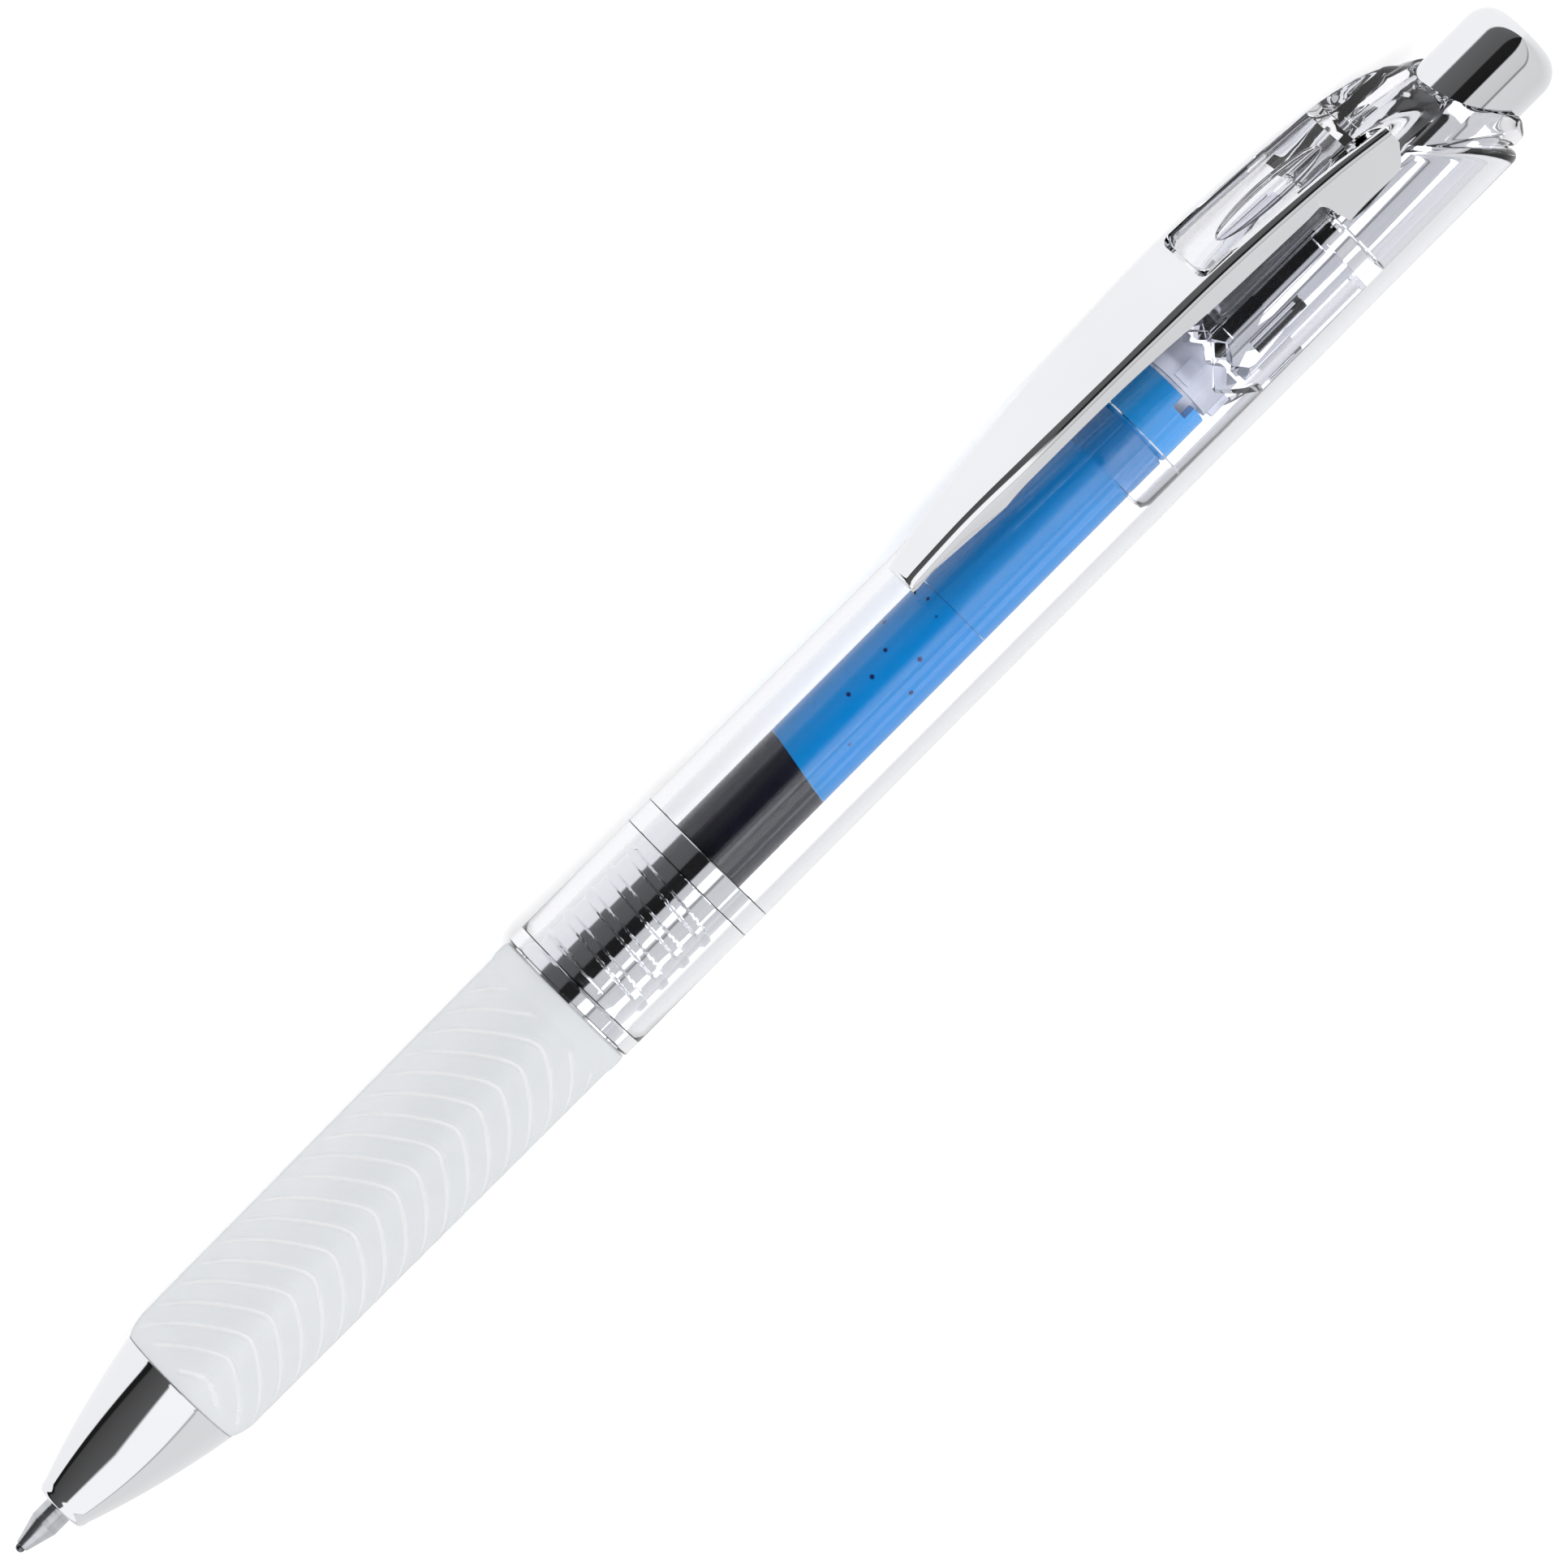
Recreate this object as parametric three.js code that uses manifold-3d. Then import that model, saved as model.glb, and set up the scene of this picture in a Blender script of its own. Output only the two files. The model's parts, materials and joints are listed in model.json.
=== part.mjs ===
// A retractable gel pen with a clear barrel, a frosted rubber grip, a chrome cone and a chrome clip.
// It is built along X with the writing ball at the origin and the clip on top. Stations are measured
// along the pen from the foremost point of the ball, and heights from the pen's axis. The finished
// group is rolled over, as a pen lies on a desk: on its barrel and on one edge of its clip.
import * as THREE from 'three';
import { mergeVertices } from 'three/addons/utils/BufferGeometryUtils.js';
import Module from 'manifold-3d';

const wasm = await Module();
wasm.setup();

// Driving dimensions, in millimetres.
const LENGTH = 142.9;
const BARREL_R = 5.5;
const GAP = 0.3; // between neighbours that would touch
const FINE_GAP = 0.08; // between a tube and what fills it
const ROUND = 36; // facets round a large turned piece
const SMALL = 20; // facets round a small one
const ROLL = THREE.MathUtils.degToRad(-108.05); // from clip up to clip against the desk

const CONE = { front: 4.01, rear: 15.22, rearR: 4.83, mouthR: 1.25, shoulder: 4.73, shoulderR: 2.05 };
const CONE_BORE = { throat: 5.0, seat: 9.0, throatR: 2.0, seatR: 2.72, wide: 12.2, wideR: 3.3 };
const SPIGOT = { end: 22, r: 3.9 };
const CORE = { front: 15.52, rear: 65.4, r: 4.35, boreR: 3.4, neckR: 4.0, neckAt: 53.33 };
const THREAD = { start: 54.4, turns: 4, pitch: 1.97, crestR: 4.2, ridgeR: 0.32 };
const GRIP = { front: 15.52, rear: 51.75, boreR: 4.45, noseR: 4.78, frontR: 5.25, rearR: 5.4 };
const BARREL = { front: 52.05, boreR: 4.5, facets: 48 };
const NOTCH = { front: 124.4, halfWidth: 3.75, floor: 3.2 };
const TUBE = { front: 22.3, rear: 105.5, r: 2.95, boreR: 2.5 };
const BALL_R = 0.35;
const NIB = { mouth: 0.45, mouthR: 0.47, shoulder: 2.58, rear: 13, r: 1.05, channelR: 0.3 };
const SOCKET = { r: 0.39, end: 0.95, channel: 1.2 };
const BALL_SPRING = { front: 1.45, rear: 4.6, r: 0.2, turns: 6, wireR: 0.045 };
const RETURN_SPRING = { front: 9.45, rear: 20.15, r: 2.3, turns: 8, wireR: 0.2 };
const SEAT = { front: 9.6, rear: 22, frontR: 1.5, stemR: 1.75, plugEnd: 27, channelR: 0.9 };
const FLANGE = { front: 20.6, frontR: 2.6, full: 21 };
const INK_END = 73.8;
const FLOAT = { front: 81, rear: 88, r: 1.6, nose: 1.4 };
const GREASE_END = 88.6;
const TAIL = { shoulder: 105.8, rear: 109.5, boreR: 1.7, notchDepth: 0.95, notchHalf: 0.6, notchTurn: -0.31 };
const ROTOR = { front: 109.8, rear: 112.9, r: 2.75, lugR: 3.2, stubR: 1.4, stubFront: 106.2 };
const LUG = { front: 110.1, rear: 112.2, ramp: 111.2, halfWidth: 0.6 };
const CROWN = { teeth: 8, depth: 0.8 };
const PLUNGER = { front: 113.2, rear: 131.5, r: 3.1, boreR: 2.3, keyR: 3.5, keyFront: 114.5, keyRear: 117.5 };
const WINDOW = { front: 115.1, rear: 119.6, width: 1.3, turn: -0.17 };
const SLEEVE = { front: 102.2, frontR: 3.7, rear: 123.3, r: 4.4, boreR: 3.35, grooveR: 3.75, grooveEnd: 122.9 };
const BUTTON = { front: 124.8, r: 3.65, boreR: 3.2, boreEnd: 132, fillet: 1.95 };
const HOLDER = { front: 124.9, r: 4.4, boreR: 3.85, collarR: 4.75, collarAt: 137.3, humpHalf: 2.6 };
const MOUTH = { top: 135.3, bottom: 139.3, rear: 142 }; // of the holder's slanting mouth round the button
const TONGUE = { front: 115.9, halfWidth: 2.42, thickness: 1.3 };
const CLIP = { front: 87.5, rear: 131.4, sheet: 0.45, top: 0.5 };
const PAD = { front: 89.6, rear: 93.4, halfWidth: 1.1, low: 5.72, high: 6.4 };

// ---- making and cutting solids ----

// The enclosed volume of a triangle list. It is negative when the faces point inwards.
function signedVolume(position, index) {
  const a = new THREE.Vector3();
  const b = new THREE.Vector3();
  const c = new THREE.Vector3();
  let sum = 0;
  for (let i = 0; i < index.length; i += 3) {
    a.fromBufferAttribute(position, index[i]);
    b.fromBufferAttribute(position, index[i + 1]);
    c.fromBufferAttribute(position, index[i + 2]);
    sum += a.dot(b.cross(c));
  }
  return sum / 6;
}

// One closed body: shared vertices joined, flat slivers dropped, faces pointing out.
function closed(geometry) {
  const bare = geometry.clone();
  bare.deleteAttribute('normal');
  bare.deleteAttribute('uv');
  const merged = mergeVertices(bare, 1e-4);
  const old = merged.index.array;
  const index = [];
  for (let i = 0; i < old.length; i += 3) {
    const [a, b, c] = [old[i], old[i + 1], old[i + 2]];
    if (a !== b && b !== c && c !== a) {
      index.push(a, b, c);
    }
  }
  if (signedVolume(merged.attributes.position, index) < 0) {
    index.reverse();
  }
  merged.setIndex(index);
  return merged;
}

// The same body as a solid for cutting and joining.
function solid(geometry) {
  const body = closed(geometry);
  const vertProperties = new Float32Array(body.attributes.position.array);
  const triVerts = new Uint32Array(body.index.array);
  return new wasm.Manifold(new wasm.Mesh({ numProp: 3, vertProperties, triVerts }));
}

// A solid back as a geometry.
function geometryOf(body) {
  const mesh = body.getMesh();
  const geometry = new THREE.BufferGeometry();
  geometry.setAttribute('position', new THREE.BufferAttribute(new Float32Array(mesh.vertProperties), 3));
  geometry.setIndex(new THREE.BufferAttribute(new Uint32Array(mesh.triVerts), 1));
  return geometry;
}

// A turned piece: profile points are [station, radius].
function turned(profile, facets = ROUND) {
  const points = profile.map(([station, radius]) => new THREE.Vector2(radius, station));
  return new THREE.LatheGeometry(points, facets).rotateZ(-Math.PI / 2);
}

// A turned piece whose profile closes on itself.
function ring(profile, facets = ROUND) {
  return turned([...profile, profile[0]], facets);
}

// A plain rod on the pen's axis.
function rod(front, rear, radius, facets = ROUND) {
  return turned([[front, 0], [front, radius], [rear, radius], [rear, 0]], facets);
}

// A block between stations, sides and heights.
function block(front, rear, left, right, low, high) {
  const box = new THREE.BoxGeometry(rear - front, right - left, high - low);
  return box.translate((front + rear) / 2, (left + right) / 2, (low + high) / 2);
}

// A side outline in [station, height], extruded across the pen.
function sideways(points, width) {
  const shape = new THREE.Shape(points.map(([x, z]) => new THREE.Vector2(x, z)));
  const geometry = new THREE.ExtrudeGeometry(shape, { depth: width, bevelEnabled: false });
  return geometry.rotateX(Math.PI / 2).translate(0, width / 2, 0);
}

// A plan outline in [station, side], extruded upwards.
function upwards(points, low, high) {
  const shape = new THREE.Shape(points.map(([x, y]) => new THREE.Vector2(x, y)));
  const geometry = new THREE.ExtrudeGeometry(shape, { depth: high - low, bevelEnabled: false });
  return geometry.translate(0, 0, low);
}

// Points on a smooth line through a few hand-placed ones.
function smooth(points, count) {
  const curve = new THREE.SplineCurve(points.map(([x, y]) => new THREE.Vector2(x, y)));
  return curve.getPoints(count).map((p) => [p.x, p.y]);
}

// Points on a bend from one point to another, pulled towards a corner.
function bend(from, corner, to, count) {
  const [a, b, c] = [from, corner, to].map(([x, y]) => new THREE.Vector2(x, y));
  return new THREE.QuadraticBezierCurve(a, b, c).getPoints(count).map((p) => [p.x, p.y]);
}

// A coil round the pen's axis.
class Coil extends THREE.Curve {
  constructor(front, rear, radius, turns) {
    super();
    Object.assign(this, { front, rear, radius, turns });
  }

  getPoint(t, target = new THREE.Vector3()) {
    const angle = 2 * Math.PI * this.turns * t;
    const station = this.front + (this.rear - this.front) * t;
    return target.set(station, this.radius * Math.cos(angle), this.radius * Math.sin(angle));
  }
}

// Round wire along a coil.
function wire(coil, wireR, sides, stepsPerTurn) {
  const section = new THREE.Shape();
  for (let i = 0; i < sides; i += 1) {
    const angle = (2 * Math.PI * i) / sides;
    const point = [wireR * Math.cos(angle), wireR * Math.sin(angle)];
    if (i === 0) {
      section.moveTo(...point);
    } else {
      section.lineTo(...point);
    }
  }
  const steps = Math.round(coil.turns * stepsPerTurn);
  return new THREE.ExtrudeGeometry(section, { steps, extrudePath: coil, bevelEnabled: false });
}

// Wedges pointing along the pen, spread round its axis: the gaps between the crown's teeth.
function crownGaps(tip, mouth, outerR) {
  const halfWidth = (Math.PI * outerR) / CROWN.teeth;
  const outline = [[tip, 0], [mouth, -halfWidth], [mouth + Math.sign(mouth - tip), 0], [mouth, halfWidth]];
  let gaps = null;
  for (let i = 0; i < CROWN.teeth; i += 1) {
    const wedge = upwards(outline, 0.5, outerR + 1).rotateX((2 * Math.PI * i) / CROWN.teeth);
    gaps = gaps ? gaps.add(solid(wedge)) : solid(wedge);
  }
  return gaps;
}

// ---- front end ----

function tipCone() {
  const shoulder = [CONE.shoulder, CONE.shoulderR];
  const nose = bend([CONE.front, 1.65], [4.05, 1.98], shoulder, 3);
  const ogive = bend(shoulder, [9.9, 3.87], [CONE.rear, CONE.rearR], 9).slice(1);
  return ring([
    [CONE.front, CONE.mouthR], ...nose, ...ogive,
    [CONE.rear, SPIGOT.r], [SPIGOT.end, SPIGOT.r], [SPIGOT.end, CONE_BORE.wideR],
    [CONE_BORE.wide, CONE_BORE.wideR], [CONE_BORE.seat, CONE_BORE.seatR],
    [CONE_BORE.seat, CONE_BORE.throatR], [CONE_BORE.throat, CONE.mouthR],
  ]);
}

function writingBall() {
  return new THREE.SphereGeometry(BALL_R, 12, 8).translate(BALL_R, 0, 0);
}

function nib() {
  return ring([
    [NIB.mouth, SOCKET.r], [NIB.mouth, NIB.mouthR], [NIB.shoulder, NIB.r], [NIB.rear, NIB.r],
    [NIB.rear, NIB.channelR], [SOCKET.channel, NIB.channelR], [SOCKET.end, SOCKET.r],
  ], SMALL);
}

function ballSpring() {
  const { front, rear, r, turns, wireR } = BALL_SPRING;
  return wire(new Coil(front, rear, r, turns), wireR, 5, 8);
}

function nibHolder() {
  return ring([
    [SEAT.front, NIB.r + FINE_GAP], [SEAT.front, SEAT.frontR], [SEAT.front + 0.4, SEAT.stemR],
    [FLANGE.front, SEAT.stemR], [FLANGE.front, FLANGE.frontR], [FLANGE.full, TUBE.r], [SEAT.rear, TUBE.r],
    [SEAT.rear, TUBE.boreR - FINE_GAP], [SEAT.plugEnd, TUBE.boreR - FINE_GAP],
    [SEAT.plugEnd, SEAT.channelR], [NIB.rear + 0.2, SEAT.channelR], [NIB.rear + 0.2, NIB.r + FINE_GAP],
  ], SMALL);
}

function returnSpring() {
  const { front, rear, r, turns, wireR } = RETURN_SPRING;
  return wire(new Coil(front, rear, r, turns), wireR, 6, 10);
}

// ---- grip section ----

function gripCore() {
  const body = solid(ring([
    [CORE.front, SPIGOT.r + FINE_GAP], [CORE.front, CORE.r], [CORE.neckAt, CORE.r],
    [CORE.neckAt, CORE.neckR], [CORE.rear, CORE.neckR], [CORE.rear, CORE.boreR],
    [SPIGOT.end + GAP, CORE.boreR], [SPIGOT.end + GAP, SPIGOT.r + FINE_GAP],
  ]));
  const end = THREAD.start + THREAD.turns * THREAD.pitch;
  const ridge = new Coil(THREAD.start, end, THREAD.crestR - THREAD.ridgeR, THREAD.turns);
  return geometryOf(body.add(solid(wire(ridge, THREAD.ridgeR, 6, 18))));
}

function grip() {
  const nose = bend([GRIP.front, GRIP.noseR], [16.1, GRIP.frontR], [17.4, GRIP.frontR], 4);
  const bead = bend([50.5, GRIP.rearR], [51.1, BARREL_R + 0.04], [GRIP.rear, GRIP.rearR], 4);
  return ring([[GRIP.front, GRIP.boreR], ...nose, ...bead, [GRIP.rear, GRIP.boreR]]);
}

// ---- barrel ----

// The station of the barrel's slanting rear rim at a height above the axis.
function rimStation(height) {
  return 135.05 - 0.72 * height - 0.07 * height * height;
}

function barrel() {
  const rear = 138;
  const tube = solid(ring([
    [BARREL.front, BARREL.boreR], [BARREL.front, BARREL_R - 0.1], [BARREL.front + 0.15, BARREL_R],
    [rear, BARREL_R], [rear, BARREL.boreR],
  ], BARREL.facets));
  const rim = [];
  for (let height = -6; height <= 6; height += 1) {
    rim.push([rimStation(height), height]);
  }
  const beyond = solid(sideways([...rim, [145, 6], [145, -6]], 14));
  const notch = solid(block(NOTCH.front, 140, -NOTCH.halfWidth, NOTCH.halfWidth, NOTCH.floor, 7));
  return geometryOf(tube.subtract(beyond).subtract(notch));
}

function guideSleeve() {
  let sleeve = solid(ring([
    [SLEEVE.front, SLEEVE.frontR], [SLEEVE.front, 4.15], [SLEEVE.front + 0.6, SLEEVE.r], [SLEEVE.rear, SLEEVE.r],
    [SLEEVE.rear, SLEEVE.boreR], [SLEEVE.front + 3.6, SLEEVE.boreR],
  ]));
  for (let i = 0; i < 4; i += 1) {
    const groove = block(PLUNGER.front - 1, SLEEVE.grooveEnd, -0.8, 0.8, 3, SLEEVE.grooveR);
    sleeve = sleeve.subtract(solid(groove.rotateX(((i + 0.5) * Math.PI) / 2)));
  }
  return geometryOf(sleeve);
}

// ---- refill ----

function refillTube() {
  return ring([
    [TUBE.front, TUBE.boreR], [TUBE.front, TUBE.r], [TUBE.rear, TUBE.r], [TUBE.rear, TUBE.boreR],
  ], SMALL);
}

function filling(front, rear) {
  return rod(front, rear, TUBE.boreR - FINE_GAP, SMALL);
}

function followerFloat() {
  const { front, rear, r, nose } = FLOAT;
  const roundNose = bend([front, 0], [front, r], [front + nose, r], 4);
  return turned([...roundNose, [rear, r], [rear, 0]], SMALL);
}

// The grease stands before and behind the float, and round it. A pin-hole joins the hollow to the air.
function inkFollower() {
  const wallR = TUBE.boreR - FINE_GAP;
  const hollowR = FLOAT.r + FINE_GAP;
  const pinR = 0.02;
  return ring([
    [INK_END + GAP, pinR], [INK_END + GAP, wallR], [GREASE_END, wallR], [GREASE_END, pinR],
    [FLOAT.rear + GAP, pinR], [FLOAT.rear + GAP, hollowR], [FLOAT.front - GAP, hollowR],
    [FLOAT.front - GAP, pinR],
  ], SMALL);
}

function tailPlug() {
  const plug = solid(ring([
    [GREASE_END + GAP, TAIL.boreR], [GREASE_END + GAP, TUBE.boreR - FINE_GAP],
    [TAIL.shoulder, TUBE.boreR - FINE_GAP], [TAIL.shoulder, TUBE.r], [TAIL.rear, TUBE.r],
    [TAIL.rear, TAIL.boreR],
  ], SMALL));
  const notch = block(TAIL.rear - TAIL.notchDepth, TAIL.rear + 1, -4, 4, -TAIL.notchHalf, TAIL.notchHalf);
  return geometryOf(plug.subtract(solid(notch.rotateX(TAIL.notchTurn))));
}

// ---- click mechanism ----

function camRotor() {
  let rotor = solid(turned([
    [ROTOR.stubFront, 0], [ROTOR.stubFront, ROTOR.stubR], [ROTOR.front, ROTOR.stubR],
    [ROTOR.front, ROTOR.r], [ROTOR.rear, ROTOR.r], [ROTOR.rear, 0],
  ], SMALL));
  for (let i = 0; i < 4; i += 1) {
    const { front, rear, ramp, halfWidth } = LUG;
    const outline = [[front, -halfWidth], [rear, -halfWidth], [ramp, halfWidth], [front, halfWidth]];
    const lug = upwards(outline, ROTOR.r - 0.4, ROTOR.lugR);
    rotor = rotor.add(solid(lug.rotateX((i * Math.PI) / 2)));
  }
  return geometryOf(rotor.subtract(crownGaps(ROTOR.rear - CROWN.depth, ROTOR.rear, ROTOR.r)));
}

function plunger() {
  let body = solid(ring([
    [PLUNGER.front, PLUNGER.boreR], [PLUNGER.front, PLUNGER.r], [PLUNGER.rear, PLUNGER.r],
    [PLUNGER.rear, PLUNGER.boreR],
  ]));
  for (let i = 0; i < 4; i += 1) {
    const key = block(PLUNGER.keyFront, PLUNGER.keyRear, -0.5, 0.5, PLUNGER.r - 0.3, PLUNGER.keyR);
    body = body.add(solid(key.rotateX(((i + 0.5) * Math.PI) / 2)));
  }
  const slot = block(WINDOW.front, WINDOW.rear, -5, 5, -WINDOW.width / 2, WINDOW.width / 2);
  body = body.subtract(solid(slot.rotateX(WINDOW.turn)));
  return geometryOf(body.subtract(crownGaps(PLUNGER.front + CROWN.depth, PLUNGER.front, PLUNGER.r)));
}

function pushButton() {
  const edge = LENGTH - BUTTON.fillet;
  const flatR = BUTTON.r - BUTTON.fillet;
  const roundEnd = [];
  for (let i = 0; i <= 5; i += 1) {
    const angle = (i * Math.PI) / 10;
    roundEnd.push([edge + BUTTON.fillet * Math.sin(angle), flatR + BUTTON.fillet * Math.cos(angle)]);
  }
  return turned([
    [BUTTON.boreEnd, 0], [BUTTON.boreEnd, BUTTON.boreR], [BUTTON.front, BUTTON.boreR],
    [BUTTON.front, BUTTON.r], ...roundEnd, [LENGTH, 0],
  ]);
}

// ---- clip and its holder ----

// The top line of the clip and of the tongue in it, as [station, height].
const TOP_LINE = [[87.5, 6.0], [88.7, 6.48], [93.6, 7.17], [99.3, 7.63], [107.3, 7.97], [114.1, 8.13],
  [119.1, 7.84], [126.6, 7.0], [131.4, 6.1]];
const HUMP_LINE = [[115.9, 8.0], [119.1, 7.84], [126.6, 7.15], [129.7, 6.85], [132.9, 6.3], [135.1, 5.3],
  [136.4, 4.4]];
const HALF_WIDTH_LINE = [[87.5, 1.35], [93.6, 1.75], [99.3, 2.3], [107.3, 2.75], [114.1, 3.07],
  [126, 3.4], [131.4, 3.4]];

// A plan outline whose half-width follows the clip's, less an inset.
function clipPlan(inset, front, rear) {
  const side = smooth(HALF_WIDTH_LINE, 14).filter(([x]) => x > front && x < rear);
  const edge = [[front, side[0][1]], ...side, [rear, side.at(-1)[1]]];
  const far = edge.map(([x, y]) => [x, inset - y]);
  return [...far, ...edge.map(([x, y]) => [x, y - inset]).reverse()];
}

// A plan outline of a slot with a round front end, open past the rear.
function tonguePlan(front, rear, halfWidth) {
  const corner = halfWidth * 0.7;
  const right = bend([front, -halfWidth + corner], [front, -halfWidth], [front + corner, -halfWidth], 4);
  const left = right.map(([x, y]) => [x, -y]).reverse();
  return [...right, [rear, -halfWidth], [rear, halfWidth], ...left];
}

function clip() {
  const top = smooth(TOP_LINE, 20);
  const plates = [[131.4, 4.6], [130.6, 3.6], [129.8, 3.35], [125.6, 3.35], [125.1, 3.8], [125.0, 5.2]];
  const underside = [[119, 5.6], [107, 5.8], [97.3, 5.8], [95.8, 5.3], [88.2, 5.3], [87.5, 5.5]];
  let body = solid(sideways([...top, ...plates, ...underside], 8));
  body = body.intersect(solid(upwards(clipPlan(0, CLIP.front, CLIP.rear), 3, 9)));
  const ceiling = top.slice(1).map(([x, z]) => [x, z - CLIP.top]);
  const channelPlan = clipPlan(CLIP.sheet, CLIP.front + 0.7, 132);
  const channel = solid(sideways([...ceiling, [132, 5.4], [132, 3], [88.2, 3]], 8));
  body = body.subtract(channel.intersect(solid(upwards(channelPlan, 2, 9))));
  body = body.subtract(solid(upwards(tonguePlan(TONGUE.front - GAP, 133, TONGUE.halfWidth + GAP), 2, 9)));
  body = body.add(solid(block(PAD.front, PAD.rear, -PAD.halfWidth, PAD.halfWidth, PAD.low, PAD.high)));
  return geometryOf(body.subtract(solid(rod(84, 124, BARREL_R + 0.15, 48))));
}

function clipHolder() {
  const humpTop = smooth(HUMP_LINE, 12);
  const tongueLow = humpTop.filter(([x]) => x < HOLDER.front - 0.6).map(([x, z]) => [x, z - TONGUE.thickness]);
  const stem = [[136.4, 3], [HOLDER.front, 3], [HOLDER.front, 6.0]];
  const hump = solid(sideways([...humpTop, ...stem, ...tongueLow.reverse()], 8));
  const tongue = solid(upwards(tonguePlan(TONGUE.front, 130, TONGUE.halfWidth), 2, 9));
  const root = solid(block(HOLDER.front, 138, -HOLDER.humpHalf, HOLDER.humpHalf, 2, 9));
  const plug = solid(rod(HOLDER.front, MOUTH.rear, HOLDER.r));
  const collar = solid(rod(HOLDER.collarAt, MOUTH.rear, HOLDER.collarR));
  const bore = solid(rod(100, 150, HOLDER.boreR));
  const slant = [[MOUTH.top, HOLDER.collarR], [MOUTH.bottom, -HOLDER.collarR], [MOUTH.bottom, -7]];
  const opening = solid(sideways([...slant, [150, -7], [150, 7], [135, 7]], 14));
  return geometryOf(hump.intersect(tongue.add(root)).add(plug).add(collar).subtract(bore).subtract(opening));
}

// ---- assembly ----

const pen = new THREE.Group();
pen.rotation.x = ROLL;

function piece(name, geometry, color, roughness, metalness) {
  const material = new THREE.MeshStandardMaterial({ color, roughness, metalness });
  const mesh = new THREE.Mesh(closed(geometry), material);
  mesh.name = name;
  pen.add(mesh);
}

piece('writing_ball', writingBall(), 0x6f7277, 0.2, 1);
piece('nib', nib(), 0xc9ccd0, 0.25, 1);
piece('ball_spring', ballSpring(), 0xb8bbc0, 0.3, 1);
piece('nib_holder', nibHolder(), 0xe8eaec, 0.35, 0);
piece('return_spring', returnSpring(), 0xc0c3c8, 0.25, 1);
piece('tip_cone', tipCone(), 0xd6d8dc, 0.08, 1);
piece('grip_core', gripCore(), 0xd2d4d8, 0.1, 1);
piece('grip', grip(), 0xe2e4e7, 0.6, 0);
piece('barrel', barrel(), 0xf2f4f8, 0.05, 0);
piece('refill_tube', refillTube(), 0x1a78d0, 0.2, 0);
piece('ink', filling(SEAT.plugEnd + GAP, INK_END), 0x101832, 0.3, 0);
piece('ink_follower', inkFollower(), 0x0a80d8, 0.3, 0);
piece('follower_float', followerFloat(), 0x1c90e0, 0.4, 0);
piece('tail_plug', tailPlug(), 0x0a7cd8, 0.4, 0);
piece('cam_rotor', camRotor(), 0xd0d4ea, 0.5, 0);
piece('plunger', plunger(), 0xd2d4d8, 0.1, 1);
piece('guide_sleeve', guideSleeve(), 0xe6e8f2, 0.3, 0);
piece('push_button', pushButton(), 0xd6d8dc, 0.06, 1);
piece('clip_holder', clipHolder(), 0xf0f2f6, 0.05, 0);
piece('clip', clip(), 0xd8dade, 0.06, 1);

// The origin is under the middle of the pen, on the surface that it lies on.
pen.updateMatrixWorld(true);
const extent = new THREE.Box3().setFromObject(pen, true);
pen.position.set(-LENGTH / 2, -(extent.min.y + extent.max.y) / 2, -extent.min.z);

export default pen;
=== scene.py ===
import json
import math

import bmesh
import bpy
from mathutils import Matrix, Vector


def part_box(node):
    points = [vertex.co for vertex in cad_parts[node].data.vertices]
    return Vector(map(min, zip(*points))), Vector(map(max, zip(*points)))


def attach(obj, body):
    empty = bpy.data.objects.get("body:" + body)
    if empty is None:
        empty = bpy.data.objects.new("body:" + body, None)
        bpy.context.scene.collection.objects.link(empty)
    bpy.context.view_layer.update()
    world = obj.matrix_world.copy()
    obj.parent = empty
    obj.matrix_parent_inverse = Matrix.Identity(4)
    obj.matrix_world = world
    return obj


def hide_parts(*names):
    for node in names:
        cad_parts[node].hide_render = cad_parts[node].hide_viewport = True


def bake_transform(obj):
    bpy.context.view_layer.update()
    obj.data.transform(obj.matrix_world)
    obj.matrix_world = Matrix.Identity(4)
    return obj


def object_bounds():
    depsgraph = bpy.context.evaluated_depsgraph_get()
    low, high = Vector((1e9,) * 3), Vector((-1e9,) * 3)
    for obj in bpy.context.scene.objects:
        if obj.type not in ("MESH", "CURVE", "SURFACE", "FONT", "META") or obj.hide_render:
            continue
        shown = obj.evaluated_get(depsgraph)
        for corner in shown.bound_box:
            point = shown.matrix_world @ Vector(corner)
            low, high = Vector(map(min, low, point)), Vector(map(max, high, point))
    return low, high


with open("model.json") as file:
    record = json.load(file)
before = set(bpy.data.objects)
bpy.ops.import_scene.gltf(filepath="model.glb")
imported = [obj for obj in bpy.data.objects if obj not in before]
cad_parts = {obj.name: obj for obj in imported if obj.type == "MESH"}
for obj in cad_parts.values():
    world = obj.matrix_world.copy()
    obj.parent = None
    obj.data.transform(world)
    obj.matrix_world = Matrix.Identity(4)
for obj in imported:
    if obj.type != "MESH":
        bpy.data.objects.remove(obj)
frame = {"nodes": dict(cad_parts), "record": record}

cad_low, cad_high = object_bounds()

# The bench: pale matt paper that the pen lies on, on its barrel and one edge of its clip. The
# paper glows a little, which keeps shadows faint, and light reflected on to it passes through.
MM = 0.001
FLOOR_HALF = 1.5
FLOOR_GAP = 0.02 * MM
PAPER_GLOW = 0.5
floor_mesh = bpy.data.meshes.new("floor")
floor_z = cad_low[2] - FLOOR_GAP
floor_mesh.from_pydata(
    [(x, y, floor_z) for x, y in ((-1, -1), (1, -1), (1, 1), (-1, 1))], [], [(0, 1, 2, 3)]
)
floor_mesh.transform(Matrix.Diagonal((FLOOR_HALF, FLOOR_HALF, 1, 1)))
floor = bpy.data.objects.new("floor", floor_mesh)
bpy.context.collection.objects.link(floor)


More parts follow.
